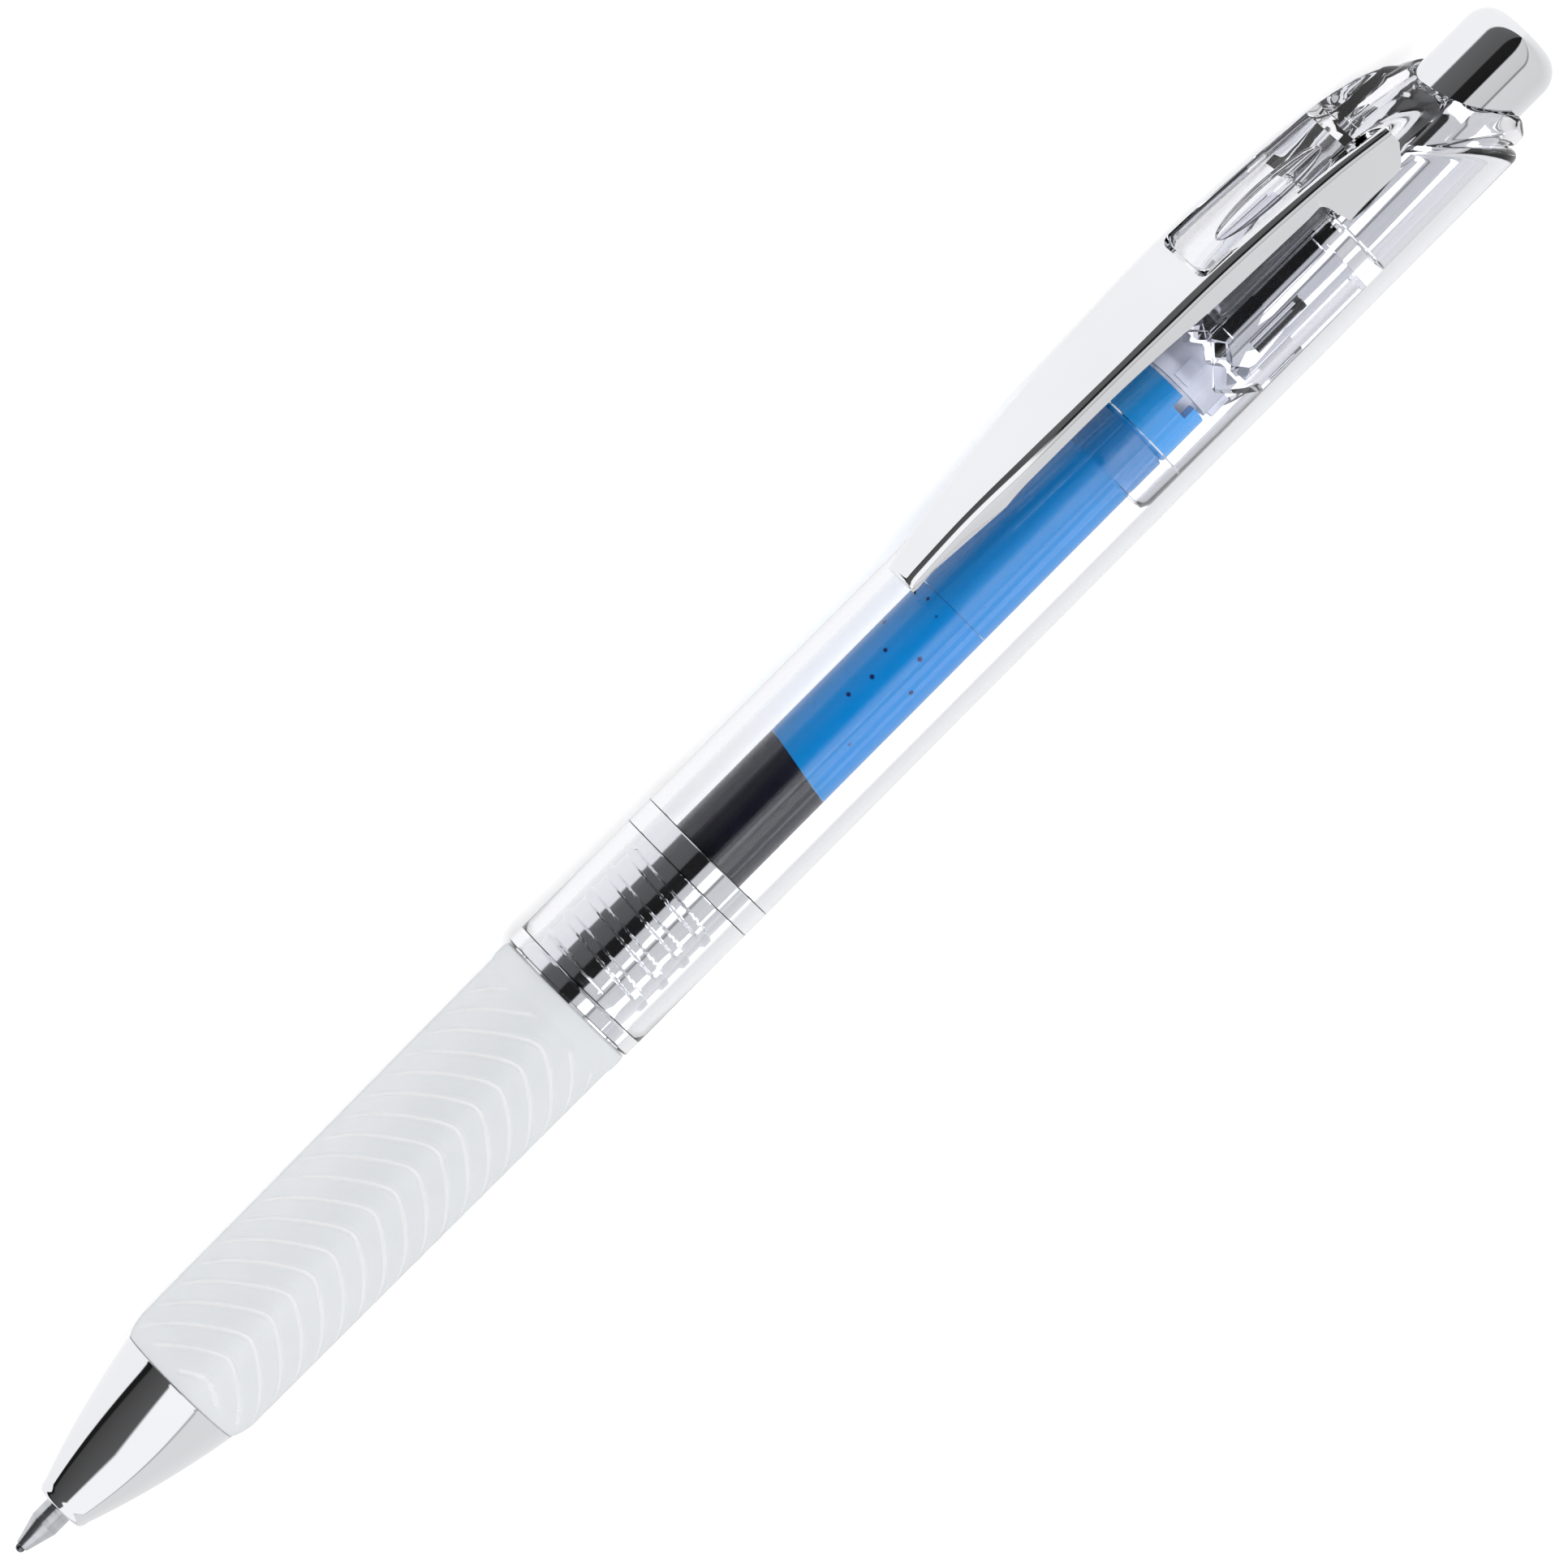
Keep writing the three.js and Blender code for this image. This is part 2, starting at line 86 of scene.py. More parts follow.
def new_material(name):
    """An empty material with its Principled shader, its output and the object's own coordinates."""
    material = bpy.data.materials.new(name)
    material.use_nodes = True
    nodes = material.node_tree.nodes
    nodes.clear()
    shader = nodes.new("ShaderNodeBsdfPrincipled")
    output = nodes.new("ShaderNodeOutputMaterial")
    material.node_tree.links.new(shader.outputs["BSDF"], output.inputs["Surface"])
    place = nodes.new("ShaderNodeTexCoord")
    return material, shader, place.outputs["Object"]


def spread_over(nodes, first, last, low=0.0, high=1.0):
    """A node that takes values from first to last on to values from low to high."""
    spread = nodes.new("ShaderNodeMapRange")
    spread.inputs["From Min"].default_value = first
    spread.inputs["From Max"].default_value = last
    spread.inputs["To Min"].default_value = low
    spread.inputs["To Max"].default_value = high
    return spread


def colour_mix(nodes):
    """A node that mixes two colours."""
    mix = nodes.new("ShaderNodeMix")
    mix.data_type = "RGBA"
    return mix


def output_of(material):
    """A material's output node."""
    return next(node for node in material.node_tree.nodes if node.type == "OUTPUT_MATERIAL")


def grain(material, place, scale, low, high, stretch=(1, 1, 1), detail=4.0):
    """A noise between two values. A stretch below 1 draws it out along that axis."""
    nodes = material.node_tree.nodes
    links = material.node_tree.links
    mapping = nodes.new("ShaderNodeMapping")
    mapping.inputs["Scale"].default_value = stretch
    links.new(place, mapping.inputs["Vector"])
    noise = nodes.new("ShaderNodeTexNoise")
    noise.inputs["Scale"].default_value = scale
    noise.inputs["Detail"].default_value = detail
    links.new(mapping.outputs["Vector"], noise.inputs["Vector"])
    spread = spread_over(nodes, 0.3, 0.7, low, high)
    links.new(noise.outputs["Fac"], spread.inputs["Value"])
    return spread.outputs["Result"]


def two_tone(material, amount, first, second):
    """A colour between two, by amount."""
    mix = colour_mix(material.node_tree.nodes)
    mix.inputs["A"].default_value = (*first, 1)
    mix.inputs["B"].default_value = (*second, 1)
    material.node_tree.links.new(amount, mix.inputs["Factor"])
    return mix.outputs["Result"]


paper, shader, place = new_material("pale_floor")
nodes = paper.node_tree.nodes
links = paper.node_tree.links
tone = two_tone(paper, grain(paper, place, 9, 0, 1), (0.93, 0.93, 0.93), (0.96, 0.96, 0.96))
links.new(tone, shader.inputs["Base Color"])
shader.inputs["Roughness"].default_value = 0.9
shader.inputs["Specular IOR Level"].default_value = 0.1
shader.inputs["Emission Color"].default_value = (1, 1, 1, 1)
shader.inputs["Emission Strength"].default_value = PAPER_GLOW
reflected = nodes.new("ShaderNodeLightPath")
see_through = nodes.new("ShaderNodeBsdfTransparent")
either = nodes.new("ShaderNodeMixShader")
links.new(reflected.outputs["Glossy Depth"], either.inputs["Fac"])
links.new(shader.outputs["BSDF"], either.inputs[1])
links.new(see_through.outputs["BSDF"], either.inputs[2])
links.new(either.outputs["Shader"], output_of(paper).inputs["Surface"])
floor_mesh.materials.append(paper)

# The studio: walls in long light and dark bands round the pen's axis, which bright metal and
# clear plastic show as stripes. Light that no polished face has reflected yet finds pale walls
# only. Two soft lamps hang above.
flex = next(j for j in frame["record"]["behaviour"]["joints"] if j["name"] == "clip_flex")
SIDEWAYS = Vector(flex["axis"]).normalized()
CLIPWARD = Vector((1, 0, 0)).cross(SIDEWAYS)
UPRIGHT = (SIDEWAYS + CLIPWARD).normalized()
BACKWARD = (CLIPWARD - SIDEWAYS).normalized()
world = bpy.data.worlds.new("studio")
bpy.context.scene.world = world
world.use_nodes = True
tree = world.node_tree
tree.nodes.clear()
direction = tree.nodes.new("ShaderNodeTexCoord")
parts = tree.nodes.new("ShaderNodeSeparateXYZ")
tree.links.new(direction.outputs["Generated"], parts.inputs["Vector"])
height_angle = tree.nodes.new("ShaderNodeMath")
height_angle.operation = "ARCTAN2"
for socket, way in enumerate((UPRIGHT, BACKWARD)):
    share = tree.nodes.new("ShaderNodeVectorMath")
    share.operation = "DOT_PRODUCT"
    share.inputs[1].default_value = way
    tree.links.new(direction.outputs["Generated"], share.inputs[0])
    tree.links.new(share.outputs["Value"], height_angle.inputs[socket])
turn_share = spread_over(tree.nodes, -math.pi, math.pi)
tree.links.new(height_angle.outputs["Value"], turn_share.inputs["Value"])
# The turn from the camera towards the clip, in degrees, and how bright the wall is from there on:
# first beside and behind the pen, then ahead of its point.
BESIDE = ((-180, 0.9), (-100, 0.70), (-50, 0.72), (-46, 0.12), (-43, 0.62), (-11, 0.66),
          (-9, 0.012), (17, 0.014), (19, 0.10), (64, 0.13), (68, 0.95), (180, 0.95))
AHEAD = ((-180, 0.85), (-100, 0.75), (-50, 0.75), (-46, 0.30), (-43, 1.0), (13, 1.0),
         (16, 0.10), (56, 0.06), (58, 0.012), (69, 0.012), (71, 0.95), (180, 0.95))
# The walls ahead open out towards the end of the room, round OPENING_TURN.
OPENING_TURN = 36
OPENING_STARTS = -0.36
OPENING_ENDS = -0.56
OPENED_BY = 0.52
opening = spread_over(tree.nodes, OPENING_STARTS, OPENING_ENDS, 1.0, OPENED_BY)
tree.links.new(parts.outputs["X"], opening.inputs["Value"])
ahead_turn = turn_share.outputs["Result"]
for operation, value in (("SUBTRACT", None), ("MULTIPLY", opening.outputs["Result"]), ("ADD", None)):
    sum_node = tree.nodes.new("ShaderNodeMath")
    sum_node.operation = operation
    tree.links.new(ahead_turn, sum_node.inputs[0])
    if value is None:
        sum_node.inputs[1].default_value = (OPENING_TURN + 180) / 360
    else:
        tree.links.new(value, sum_node.inputs[1])
    ahead_turn = sum_node.outputs["Value"]
walls = []
for stops, where in ((BESIDE, turn_share.outputs["Result"]), (AHEAD, ahead_turn)):
    bands = tree.nodes.new("ShaderNodeValToRGB")
    ramp = bands.color_ramp
    while len(ramp.elements) < len(stops):
        ramp.elements.new(0.5)
    for element, (degrees, bright) in zip(ramp.elements, stops):
        element.position = (degrees + 180) / 360
        element.color = (bright, bright, bright * 1.01, 1)
    tree.links.new(where, bands.inputs["Fac"])
    walls.append(bands)
AHEAD_STARTS = -0.14
AHEAD_FULL = -0.20
ahead_share = spread_over(tree.nodes, AHEAD_STARTS, AHEAD_FULL)
tree.links.new(parts.outputs["X"], ahead_share.inputs["Value"])
whole = colour_mix(tree.nodes)
tree.links.new(ahead_share.outputs["Result"], whole.inputs["Factor"])
tree.links.new(walls[0].outputs["Color"], whole.inputs["A"])
tree.links.new(walls[1].outputs["Color"], whole.inputs["B"])
PALE_WALL = 0.87
WALL_LIGHT = 1.05
bounced = tree.nodes.new("ShaderNodeLightPath")
seen = colour_mix(tree.nodes)
seen.inputs["A"].default_value = (PALE_WALL, PALE_WALL, PALE_WALL, 1)
tree.links.new(bounced.outputs["Glossy Depth"], seen.inputs["Factor"])
tree.links.new(whole.outputs["Result"], seen.inputs["B"])
glow = tree.nodes.new("ShaderNodeBackground")
glow.inputs["Strength"].default_value = WALL_LIGHT
tree.links.new(seen.outputs["Result"], glow.inputs["Color"])
world_out = tree.nodes.new("ShaderNodeOutputWorld")
tree.links.new(glow.outputs["Background"], world_out.inputs["Surface"])

LAMPS = (("lamp_front", (-0.45, 0.5, 0.8)), ("lamp_back", (0.5, -0.4, 0.9)))
LAMP_SIZE = 0.9
LAMP_WATTS = 4.2
for name, where in LAMPS:
    lamp = bpy.data.lights.new(name, "AREA")
    lamp.size = LAMP_SIZE
    lamp.energy = LAMP_WATTS
    stand = bpy.data.objects.new(name, lamp)
    stand.location = where
    stand.rotation_mode = "QUATERNION"
    stand.rotation_quaternion = (-Vector(where)).to_track_quat("-Z", "Y")
    stand.visible_glossy = False
    bpy.context.collection.objects.link(stand)

# The camera stands half-way round from the pen's side to its clip. It is rolled so that the pen
# lies along the picture's diagonal, with the ball at the bottom left and the clip above.
ROLL = math.radians(45.16)
FRAME_WIDTH = 104.7 * MM
LENS = 300
SENSOR = 36
AIM_BEHIND = 0.98
AIM_BELOW = 0.2
grip_low, grip_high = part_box("grip")
AXIS_Y = (grip_low.y + grip_high.y) / 2
AXIS_Z = (grip_low.z + grip_high.z) / 2
across = Vector((1, 0, 0))
picture_right = across * math.cos(ROLL) - UPRIGHT * math.sin(ROLL)
picture_up = across * math.sin(ROLL) + UPRIGHT * math.cos(ROLL)
aim = Vector((AIM_BEHIND * MM, AXIS_Y, AXIS_Z)) - UPRIGHT * AIM_BELOW * MM
distance = FRAME_WIDTH / 2 / (SENSOR / 2 / LENS)
camera_data = bpy.data.cameras.new("camera")
camera_data.lens = LENS
camera_data.sensor_width = SENSOR
camera_data.clip_start = 0.01
camera = bpy.data.objects.new("camera", camera_data)
camera.matrix_world = Matrix.Translation(aim + BACKWARD * distance) @ Matrix(
    (picture_right, picture_up, BACKWARD)
).transposed().to_4x4()
bpy.context.collection.objects.link(camera)
bpy.context.scene.camera = camera
bpy.context.scene.view_settings.view_transform = "Standard"

# Nose cone: turned brass, mirror plated. A long curve from a small round mouth to the grip,
# with a plain spigot behind that is pressed into the grip's core.
BALL_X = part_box("writing_ball")[0].x
MOUTH_BORE = 1.25
HOLDER_BORE = 2.0
SPRING_BORE = 2.72
SPIGOT_BORE = 3.3
SPIGOT_RADIUS = 3.9


def span(node):
    """A turned node's front and rear stations behind the ball, and its radius, in millimetres."""
    low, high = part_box(node)
    corners = frame["nodes"][node].data.vertices
    radius = max(math.hypot(v.co.y - AXIS_Y, v.co.z - AXIS_Z) for v in corners)
    return (low.x - BALL_X) / MM, (high.x - BALL_X) / MM, radius / MM


def at(station, side, height):
    """A point from its station along the pen, and its side and its height towards the clip."""
    return Vector((BALL_X + station * MM, AXIS_Y, AXIS_Z)) + (SIDEWAYS * side + CLIPWARD * height) * MM


def bend(start, corner, end, steps):
    """Points on a smooth bend from start to end, pulled towards corner."""
    points = []
    for i in range(steps + 1):
        t = i / steps
        points.append(tuple(
            (1 - t) ** 2 * a + 2 * t * (1 - t) * c + t * t * b for a, c, b in zip(start, corner, end)
        ))
    return points


def soften(outline, radius, steps=4, least=20):
    """The closed outline with every corner sharper than least degrees rounded."""
    rounded = []
    count = len(outline)
    for i, point in enumerate(outline):
        here = Vector(point)
        before = Vector(outline[i - 1]) - here
        after = Vector(outline[(i + 1) % count]) - here
        on_axis = here.y < 1e-6
        if on_axis or before.length < 1e-6 or after.length < 1e-6:
            rounded.append(tuple(here))
            continue
        if math.degrees(math.pi - before.angle(after)) < least:
            rounded.append(tuple(here))
            continue
        cut = min(radius, 0.45 * before.length, 0.45 * after.length)
        rounded += bend(here + before.normalized() * cut, here, here + after.normalized() * cut, steps)
    return rounded


def finish_mesh(name, build, crease=35):
    """An object from a bmesh: doubles joined, faces out, smooth but for its creases."""
    bmesh.ops.remove_doubles(build, verts=build.verts, dist=1e-7)
    bmesh.ops.dissolve_degenerate(build, edges=build.edges, dist=1e-8)
    bmesh.ops.recalc_face_normals(build, faces=build.faces)
    mesh = bpy.data.meshes.new(name)
    build.to_mesh(mesh)
    build.free()
    mesh.shade_smooth()
    mesh.set_sharp_from_angle(angle=math.radians(crease))
    made = bpy.data.objects.new(name, mesh)
    bpy.context.collection.objects.link(made)
    return made


def spin(name, outline_at, sides=144, crease=35):
    """A piece turned about the pen's axis. outline_at gives the closed outline of (station, radius)
    at an angle from the clip, so it may change round the piece, but not in its number of points."""
    build = bmesh.new()
    rings = []
    for i in range(sides):
        angle = 2 * math.pi * i / sides
        outline = outline_at(angle)
        side, height = -math.sin(angle), math.cos(angle)
        rings.append([build.verts.new(at(s, r * side, r * height)) for s, r in outline])
    for i in range(sides):
        here, there = rings[i], rings[(i + 1) % sides]
        for j in range(len(here)):
            k = (j + 1) % len(here)
            build.faces.new((here[j], here[k], there[k], there[j]))
    return finish_mesh(name, build, crease)


def turned(name, outline, radius=0.08, sides=144, crease=35):
    """A plain turned piece, with its corners broken by radius."""
    smooth = soften(outline, radius)
    return spin(name, lambda angle: smooth, sides, crease)


def settle(made, material, body, slot, *nodes):
    """Gives a piece its material and the body it rides on, and hides the nodes it stands for. The slot is
    not used.
    """
    made.data.materials.append(material)
    if body:
        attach(made, body)
    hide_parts(*nodes)
    return made


def dents(material, shader, height, strength, distance):
    """Feeds a height into the shader's normal."""
    bump = material.node_tree.nodes.new("ShaderNodeBump")
    bump.inputs["Strength"].default_value = strength
    bump.inputs["Distance"].default_value = distance
    material.node_tree.links.new(height, bump.inputs["Height"])
    material.node_tree.links.new(bump.outputs["Normal"], shader.inputs["Normal"])


def mirror_plate(name, tone, dull, scratch):
    """Bright plating: a mirror with faint polishing lines along it and duller spots of handling."""
    material, shader, place = new_material(name)
    spots = grain(material, place, 260, dull * 0.5, dull * 1.6)
    material.node_tree.links.new(spots, shader.inputs["Roughness"])
    hazy = grain(material, place, 90, 0, 1)
    colour = two_tone(material, hazy, tone, [c * 0.97 for c in tone])
    material.node_tree.links.new(colour, shader.inputs["Base Color"])
    shader.inputs["Metallic"].default_value = 1.0
    lines = grain(material, place, 900, 0, 1, stretch=(0.06, 1, 1))
    dents(material, shader, lines, scratch, 0.002 * MM)
    return material


nose_plate = mirror_plate("nose_plate", (0.86, 0.865, 0.88), 0.035, 0.25)
front, rear, _ = span("tip_cone")
cone_rear = span("grip")[0] - 0.02
cone_outline = (
    bend((front, 1.62), (front + 0.04, 1.98), (front + 0.72, 2.06), 8)
    + bend((front + 0.72, 2.06), (9.9, 3.87), (cone_rear, 4.83), 40)[1:]
    + [(cone_rear, SPIGOT_RADIUS), (rear, SPIGOT_RADIUS), (rear, SPIGOT_BORE), (12.2, SPIGOT_BORE),
       (9.0, SPRING_BORE), (9.0, HOLDER_BORE), (5.0, MOUTH_BORE), (front, MOUTH_BORE)]
)
cone = turned("nose_cone", cone_outline, 0.06, 192)
settle(cone, nose_plate, "shell", "bright_chrome", "tip_cone")

# Writing point: a hard ball spun into a turned steel nib. The nib's cone and its straight
# shank carry fine turning marks, and a tiny spring behind the ball shuts it when it isn't used.


def turned_steel(name, tone, dull):
    """Bare steel with turning marks round it."""
    material, shader, place = new_material(name)
    rings = grain(material, place, 1500, 0, 1, stretch=(1, 0.02, 0.02), detail=2)
    roughness = grain(material, place, 700, dull * 0.7, dull * 1.4)
    material.node_tree.links.new(roughness, shader.inputs["Roughness"])
    colour = two_tone(material, rings, tone, [c * 0.8 for c in tone])
    material.node_tree.links.new(colour, shader.inputs["Base Color"])
    shader.inputs["Metallic"].default_value = 1.0
    dents(material, shader, rings, 0.5, 0.01 * MM)
    return material


ball_radius = span("writing_ball")[2]
ball_metal = turned_steel("ball_metal", (0.20, 0.205, 0.22), 0.12)
BALL_STEPS = 24
ball_turns = [math.pi * i / BALL_STEPS for i in range(BALL_STEPS + 1)]
ball_outline = [(ball_radius * (1 - math.cos(t)), ball_radius * math.sin(t)) for t in ball_turns]
ball = spin("ball", lambda angle: ball_outline, 48)
settle(ball, ball_metal, "refill", "carbide", "writing_ball")

nib_metal = turned_steel("nib_metal", (0.66, 0.67, 0.70), 0.2)
front, rear, radius = span("nib")
SEAT = 0.39
INK_WAY = 0.3
nib_outline = [
    (front, SEAT), (front, 0.46), (front + 0.35, 0.56), (2.5, radius - 0.02), (2.62, radius),
    (rear, radius), (rear, INK_WAY), (1.2, INK_WAY), (0.95, SEAT),
]
nib = turned("nib_body", nib_outline, 0.04, 96)
settle(nib, nib_metal, "refill", "nib_steel", "nib")


def coil(name, first, last, radius, turns, wire, closed_turns, steps=48, sides=12):
    """A wound spring about the pen's axis, with its end turns closed up."""
    build = bmesh.new()
    rings = []
    count = int(turns * steps)
    for i in range(count + 1):
        turn = turns * i / count
        open_turns = turns - 2 * closed_turns
        lead = (last - first - 4 * closed_turns * wire) / open_turns
        ends = min(turn, closed_turns) + max(0, turn - (turns - closed_turns))
        middle = min(max(turn - closed_turns, 0), open_turns)
        station = first + ends * 2 * wire + middle * lead
        angle = 2 * math.pi * turn
        ring = []
        for j in range(sides):
            spot = 2 * math.pi * j / sides
            out = radius + wire * math.cos(spot)
            where = at(station + wire * math.sin(spot), out * math.sin(angle), out * math.cos(angle))
            ring.append(build.verts.new(where))
        rings.append(ring)
    for here, there in zip(rings, rings[1:]):
        for j in range(sides):
            k = (j + 1) % sides
            build.faces.new((here[j], here[k], there[k], there[j]))
    build.faces.new(rings[0])
    build.faces.new(rings[-1])
    return finish_mesh(name, build)


drawn_wire = turned_steel("drawn_wire", (0.60, 0.61, 0.63), 0.16)
front, rear, _ = span("ball_spring")
FINE_WIRE = 0.045
tiny = coil("ball_spring_coil", front + 0.06, rear - 0.06, 0.2, 8, FINE_WIRE, 1, 24, 8)
settle(tiny, drawn_wire, "refill", "spring_steel", "ball_spring")

# Nib holder: a milky moulded collar. Its long nose grips the nib's shank, a flange stops it
# against the ink tube, and a plug behind the flange is pressed into the tube.
milky, shader, place = new_material("milky_plastic")
cloud = two_tone(milky, grain(milky, place, 300, 0, 1), (0.80, 0.81, 0.84), (0.88, 0.89, 0.90))
milky.node_tree.links.new(cloud, shader.inputs["Base Color"])
milky.node_tree.links.new(grain(milky, place, 500, 0.28, 0.42), shader.inputs["Roughness"])
shader.inputs["Subsurface Weight"].default_value = 0.3
shader.inputs["Subsurface Radius"].default_value = (0.001, 0.001, 0.001)
dents(milky, shader, grain(milky, place, 1200, 0, 1), 0.15, 0.02 * MM)
front, rear, radius = span("nib_holder")
COLLAR_NOSE = 1.75
COLLAR_PLUG = 2.45
FLANGE_FRONT = 20.6
FLANGE_REAR = 22.0
SHANK_REAR = 13.2
SHANK_BORE = 1.1
COLLAR_BORE = 0.9
collar_outline = [
    (front, SHANK_BORE), (front, 1.5), (front + 0.4, COLLAR_NOSE), (FLANGE_FRONT, COLLAR_NOSE),
    (FLANGE_FRONT, 2.6), (FLANGE_FRONT + 0.4, radius), (FLANGE_REAR, radius),
    (FLANGE_REAR, COLLAR_PLUG), (rear, COLLAR_PLUG), (rear, COLLAR_BORE), (SHANK_REAR, COLLAR_BORE),
    (SHANK_REAR, SHANK_BORE),
]
collar = turned("nib_collar", collar_outline, 0.12, 96)
settle(collar, milky, "refill", "white_plastic", "nib_holder")

# Return spring: bright drawn wire in the cone, wound round the nib holder. It rides on no body,
# and its shape is baked in where it stands.
front, rear, _ = span("return_spring")
COIL_RADIUS = 2.3
COIL_TURNS = 9
WIRE = 0.2
spring = coil("return_coil", front + WIRE, rear - WIRE, COIL_RADIUS, COIL_TURNS, WIRE, 1)
settle(spring, drawn_wire, None, "spring_steel", "return_spring")
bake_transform(spring)

# Grip core: a mirror-plated tube under the grip. Behind the grip it carries a coarse thread
# that the barrel screws on to, and two plain lands.
core_plate = mirror_plate("core_plate", (0.84, 0.845, 0.86), 0.05, 0.5)
THREAD_FRONT = 54.1
THREAD_REAR = 62.6
THREAD_STEPS = 260
LAND_FRONT = 53.4
LAND_REAR = 63.3
PITCH = 1.97
CREST = 0.56
FLANK = 0.16
ROOT_RADIUS = 3.9
RIDGE = 0.26
CORE_BORE = 3.4
SPIGOT_FIT = 3.98
SPIGOT_END = 22.3
core_front, core_rear, core_radius = span("grip_core")


def ridge(phase, width, flank):
    """How far up a thread's side a phase of its pitch lies, from 0 at the root to 1 on the crest."""
    away = abs((phase + PITCH / 2) % PITCH - PITCH / 2)
    return min(1, max(0, (width / 2 + flank - away) / flank))


def core_outline(angle):
    """The core's outline at an angle, with the thread where it crosses it."""
    outline = [(core_front, SPIGOT_FIT), (core_front, core_radius), (53.1, core_radius), (53.33, 4.02)]
    for i in range(THREAD_STEPS + 1):
        station = LAND_FRONT + (LAND_REAR - LAND_FRONT) * i / THREAD_STEPS
        phase = station - THREAD_FRONT + PITCH * angle / (2 * math.pi)
        ends = min(1, max(0, (station - THREAD_FRONT) / 0.3), max(0, (THREAD_REAR - station) / 0.3))
        outline.append((station, ROOT_RADIUS + RIDGE * ridge(phase, CREST, FLANK) * ends))
    outline += [(63.4, 4.0), (65.3, 4.0), (core_rear, ROOT_RADIUS), (core_rear, CORE_BORE)]
    outline += [(SPIGOT_END, CORE_BORE), (SPIGOT_END, SPIGOT_FIT)]
    return outline


core = spin("threaded_core", core_outline, 180, 30)
settle(core, core_plate, "shell", "bright_chrome", "grip_core")

# Grip: a sleeve of frosted silicone rubber, moulded with two rows of swept chevron grooves and
# a small bead at the rear. It is stretched over the core.
grip_front, grip_rear, grip_radius = span("grip")
GROOVE_PITCH = 1.955
FIRST_APEX = 17.35
GROOVES = 18
APEX_ANGLES = (math.radians(56), math.radians(236))
GROOVE_DEPTH = 0.16
GROOVE_HALF = 0.15
PATTERN_FRONT = 16.35
PATTERN_REAR = 49.9
PATTERN_HALF = 80
NOSE_LENGTH = 2.0
BODY_REAR = 50.45
BODY_STEPS = 430
SLEEVE_RADIUS = 5.25
SLEEVE_TAPER = 0.15
SLEEVE_BORE = 4.42
SLEEVE_LIGHT = 0.45
BARREL_FRONT = span("barrel")[0]


def groove_depth(station, angle):
    """How deep the chevron pattern is at a place on the grip."""
    if not PATTERN_FRONT < station < PATTERN_REAR:
        return 0.0
    for apex in APEX_ANGLES:
        away = math.degrees(abs((angle - apex + math.pi) % (2 * math.pi) - math.pi))
        if away > PATTERN_HALF:
            continue
        swept = math.hypot(0.07 * away, 0.75) - 0.75
        step = (station + swept - FIRST_APEX) / GROOVE_PITCH
        nearest = round(step)
        if not 0 <= nearest < GROOVES + 3:
            return 0.0
        off = (step - nearest) * GROOVE_PITCH
        sides = (PATTERN_HALF - away) / 12
        fade = min(1, sides, (station - PATTERN_FRONT) / 0.25, (PATTERN_REAR - station) / 0.25)
        cut = math.exp(-(off / GROOVE_HALF) ** 2)
        lip = 0.3 * math.exp(-((off - 0.34) / 0.2) ** 2)
        slope = 0.22 * max(0.0, 1 - abs(off - 0.55) / 0.75)
        return GROOVE_DEPTH * fade * (cut - lip - slope * 0.5)
    return 0.0


def grip_outline(angle):
    """The grip's outline at an angle, with the grooves that cross it."""
    body_front = grip_front + NOSE_LENGTH
    nose_corner = (grip_front + 0.75, SLEEVE_RADIUS)
    nose = bend((grip_front, 4.78), nose_corner, (body_front, SLEEVE_RADIUS), 12)
    outline = [(grip_front, SLEEVE_BORE)] + nose
    for i in range(1, BODY_STEPS + 1):
        share = i / BODY_STEPS
        station = body_front + (BODY_REAR - body_front) * i / BODY_STEPS
        outline.append((station, SLEEVE_RADIUS + SLEEVE_TAPER * share))
    outline = [(s, r - groove_depth(s, angle)) for s, r in outline]
    bead_rear = BARREL_FRONT - 0.08
    outline += [(50.6, 5.44), (50.8, 5.49), (51.1, 5.5), (51.5, 5.5), (51.8, 5.46), (bead_rear, 5.36)]
    outline += [(bead_rear, SLEEVE_BORE)]
    return outline


def let_light_through(material, shader, share):
    """Lets part of a lamp's light pass straight through a clear plastic."""
    nodes = material.node_tree.nodes
    links = material.node_tree.links
    ray = nodes.new("ShaderNodeLightPath")
    amount = nodes.new("ShaderNodeMath")
    amount.operation = "MULTIPLY"
    amount.inputs[1].default_value = share
    links.new(ray.outputs["Is Shadow Ray"], amount.inputs[0])
    through = nodes.new("ShaderNodeBsdfTransparent")
    mix = nodes.new("ShaderNodeMixShader")
    links.new(amount.outputs["Value"], mix.inputs["Fac"])
    links.new(shader.outputs["BSDF"], mix.inputs[1])
    links.new(through.outputs["BSDF"], mix.inputs[2])
    links.new(mix.outputs["Shader"], output_of(material).inputs["Surface"])


silicone, shader, place = new_material("frosted_silicone")
cloud = grain(silicone, place, 60, 0, 1, stretch=(0.5, 1, 1))
milk = two_tone(silicone, cloud, (0.75, 0.77, 0.79), (0.80, 0.815, 0.83))
